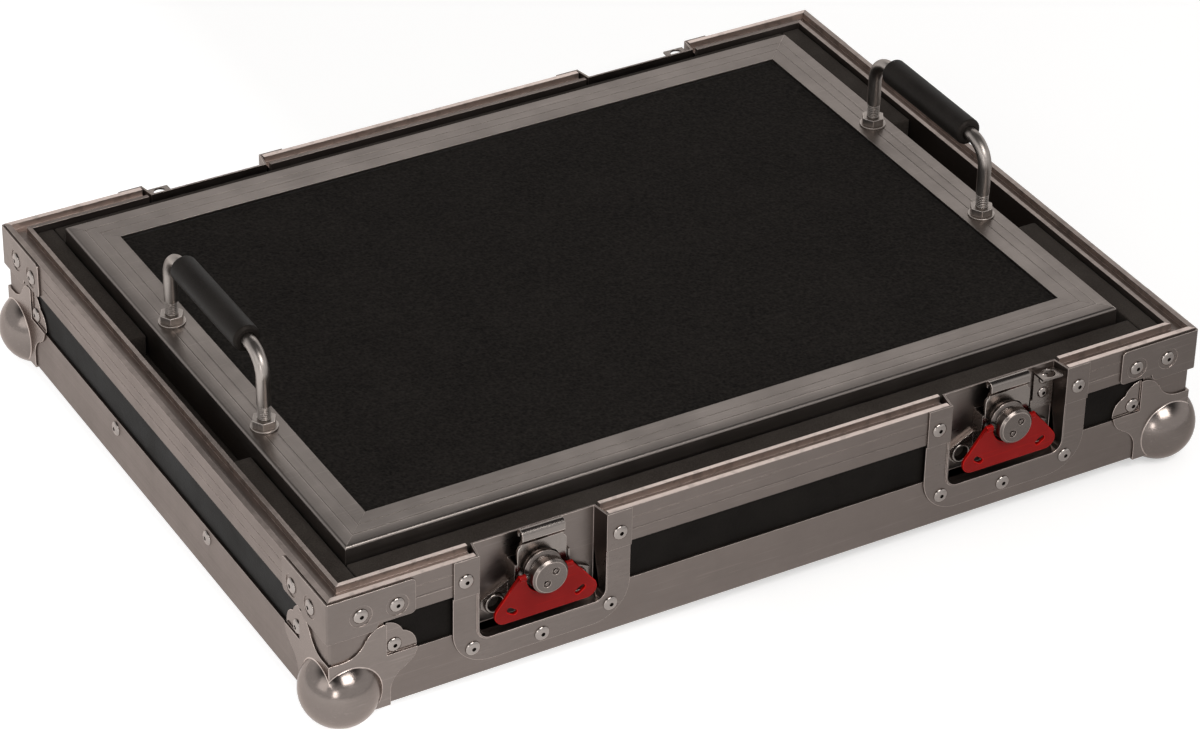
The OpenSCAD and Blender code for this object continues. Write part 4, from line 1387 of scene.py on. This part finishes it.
@dataclass
class Studio:
    """Camera, lamps, floor and backdrop.

    Attributes:
        azimuth: Azimuth of the view in degrees.
        elevation: Elevation of the view in degrees.
        roll: Roll of the camera in degrees.
        place: Camera's place in metres.
        lens: Focal length in millimetres.
        shift: Shift of the picture, in widths.
        sensor: Width of the sensor in millimetres.
        ambient: Strength of the world's even light.
        overhead: Brightness of the studio above, as metal shows it.
        horizon: Heights, as sines, where the white backdrop starts and has turned to that brightness.
        paint: Grey of the floor.
        lift: Least glow of the floor in the picture.
        glow: The floor's glow as metal shows it: where it starts and ends to change, in metres, and both strengths.
        size: Half the floor's width in metres.
        drop: How far the floor lies below the case.
        ways: Kinds of ray that show the backdrop.
        lamps: The lamps.
    """

    azimuth: float = -30.203
    elevation: float = 33.561
    roll: float = 1.139
    place: tuple[float, float, float] = (-1.1085, -1.9100, 1.49455)
    lens: float = 130.907
    shift: tuple[float, float] = (0.0047, -0.0013)
    sensor: float = 36.0
    ambient: float = 0.42
    overhead: float = 0.06
    horizon: tuple[float, float] = (0.45, 0.72)
    paint: Colour = (0.62, 0.62, 0.62)
    lift: float = 0.5
    glow: tuple[float, float, float, float] = (-0.45, 0.42, 0.98, 0.05)
    size: float = 6.0
    drop: float = 0.2 * MM
    ways: tuple[str, str, str] = ("Camera", "Glossy", "Transmission")
    lamps: tuple[Lamp, ...] = (
        Lamp("front", (0.05, -2.15, 2.3), (1.5, 1.1), 55.0), Lamp("left", (-2.7, -0.7, 1.5), (1.4, 1.5), 9.0),
        Lamp("low", (-1.9, -2.3, 0.72), (0.5, 0.7), 9.0), Lamp("back", (1.4, 2.1, 1.95), (1.9, 1.1), 6.0))

    def axes(self) -> tuple[Vector, Vector, Vector]:
        """Turns the view's angles into directions.

        Returns:
            The camera's right, up and back.
        """
        a, e, r = (math.radians(v) for v in (self.azimuth, self.elevation, self.roll))
        back = Vector((math.sin(a) * math.cos(e), -math.cos(a) * math.cos(e), math.sin(e)))
        right = Vector((math.cos(a), math.sin(a), 0.0))
        up = back.cross(right)
        return (math.cos(r) * right + math.sin(r) * up, -math.sin(r) * right + math.cos(r) * up, back)

    def camera(self) -> None:
        """Adds the camera and makes it the scene's."""
        data = bpy.data.cameras.new("camera")
        data.sensor_width = self.sensor
        data.lens = self.lens
        data.shift_x, data.shift_y = self.shift
        data.clip_end = 50.0
        thing = link("camera", data)
        thing.matrix_world = Matrix.Translation(self.place) @ Matrix(self.axes()).transposed().to_4x4()
        bpy.context.scene.camera = thing

    def seen(self, tree: Tree) -> NodeSocket:
        """Returns 1 for rays that show the backdrop: from the camera, off gloss and through glass."""
        camera, gloss, glass = (tree.add("ShaderNodeLightPath").outputs[f"Is {way} Ray"] for way in self.ways)
        return tree.math("MAXIMUM", tree.math("MAXIMUM", camera, gloss), glass)

    def world(self) -> None:
        """Sets a dim even world whose backdrop is white up to a height and grey above."""
        world = bpy.data.worlds.new("studio")
        bpy.context.scene.world = world
        tree = Tree.of(world)
        dim = tree.add("ShaderNodeBackground", {"Color": (*WARM_WHITE, 1.0), "Strength": self.ambient})
        way = tree.add("ShaderNodeTexCoord").outputs["Generated"]
        height = tree.add("ShaderNodeSeparateXYZ", {0: way}).outputs["Z"]
        backdrop = tree.mix(tree.spread(height, *self.horizon), WHITE, (*([self.overhead] * 3), 1.0))
        white = tree.add("ShaderNodeBackground", {"Color": backdrop, "Strength": 1.0})
        pick = tree.add("ShaderNodeMixShader", {0: self.seen(tree), 1: dim.outputs[0], 2: white.outputs[0]})
        tree.add("ShaderNodeOutputWorld", {0: pick.outputs[0]})

    def floor(self) -> None:
        """Adds the pale floor, which takes the case's shadow and which metal shows brighter on the left."""
        bm = bmesh.new()
        bmesh.ops.create_grid(bm, x_segments=1, y_segments=1, size=self.size)
        thing = shell_from(bm, "floor")
        thing.location.z = -self.drop
        paint = bpy.data.materials.new("pale floor")
        tree = Tree.of(paint)
        matt = tree.add("ShaderNodeBsdfPrincipled", {
            "Base Color": (*self.paint, 1.0), "Roughness": 0.9, "Specular IOR Level": 0.0})
        across = tree.add("ShaderNodeSeparateXYZ", {0: tree.add("ShaderNodeTexCoord").outputs["Object"]}).outputs["X"]
        camera = tree.add("ShaderNodeLightPath").outputs["Is Camera Ray"]
        level = tree.math("MAXIMUM", tree.math("MULTIPLY", camera, self.lift), tree.spread(across, *self.glow))
        lit = tree.add("ShaderNodeEmission", {"Color": WHITE, "Strength": level})
        both = tree.add("ShaderNodeAddShader", {0: matt.outputs[0], 1: lit.outputs[0]})
        pick = tree.add("ShaderNodeMixShader", {0: self.seen(tree), 1: matt.outputs[0], 2: both.outputs[0]})
        tree.add("ShaderNodeOutputMaterial", {0: pick.outputs[0]})
        thing.data.materials.append(paint)

    def build(self) -> None:
        """Builds the studio."""
        self.camera()
        self.world()
        self.floor()
        for lamp in self.lamps:
            lamp.build()


def main() -> None:
    """Builds the scene in order."""
    logging.basicConfig(level=logging.INFO, format="%(name)s %(message)s")
    bpy.context.scene.view_settings.view_transform = "Standard"
    for assembly in (Studio(), Walls(), Extrusions(), SteelWork(), Rivets(), Latches(), FoamParts(), PedalBoard()):
        assembly.build()
        LOG.info("%s is done", type(assembly).__name__)


if __name__ == "__main__":
    main()
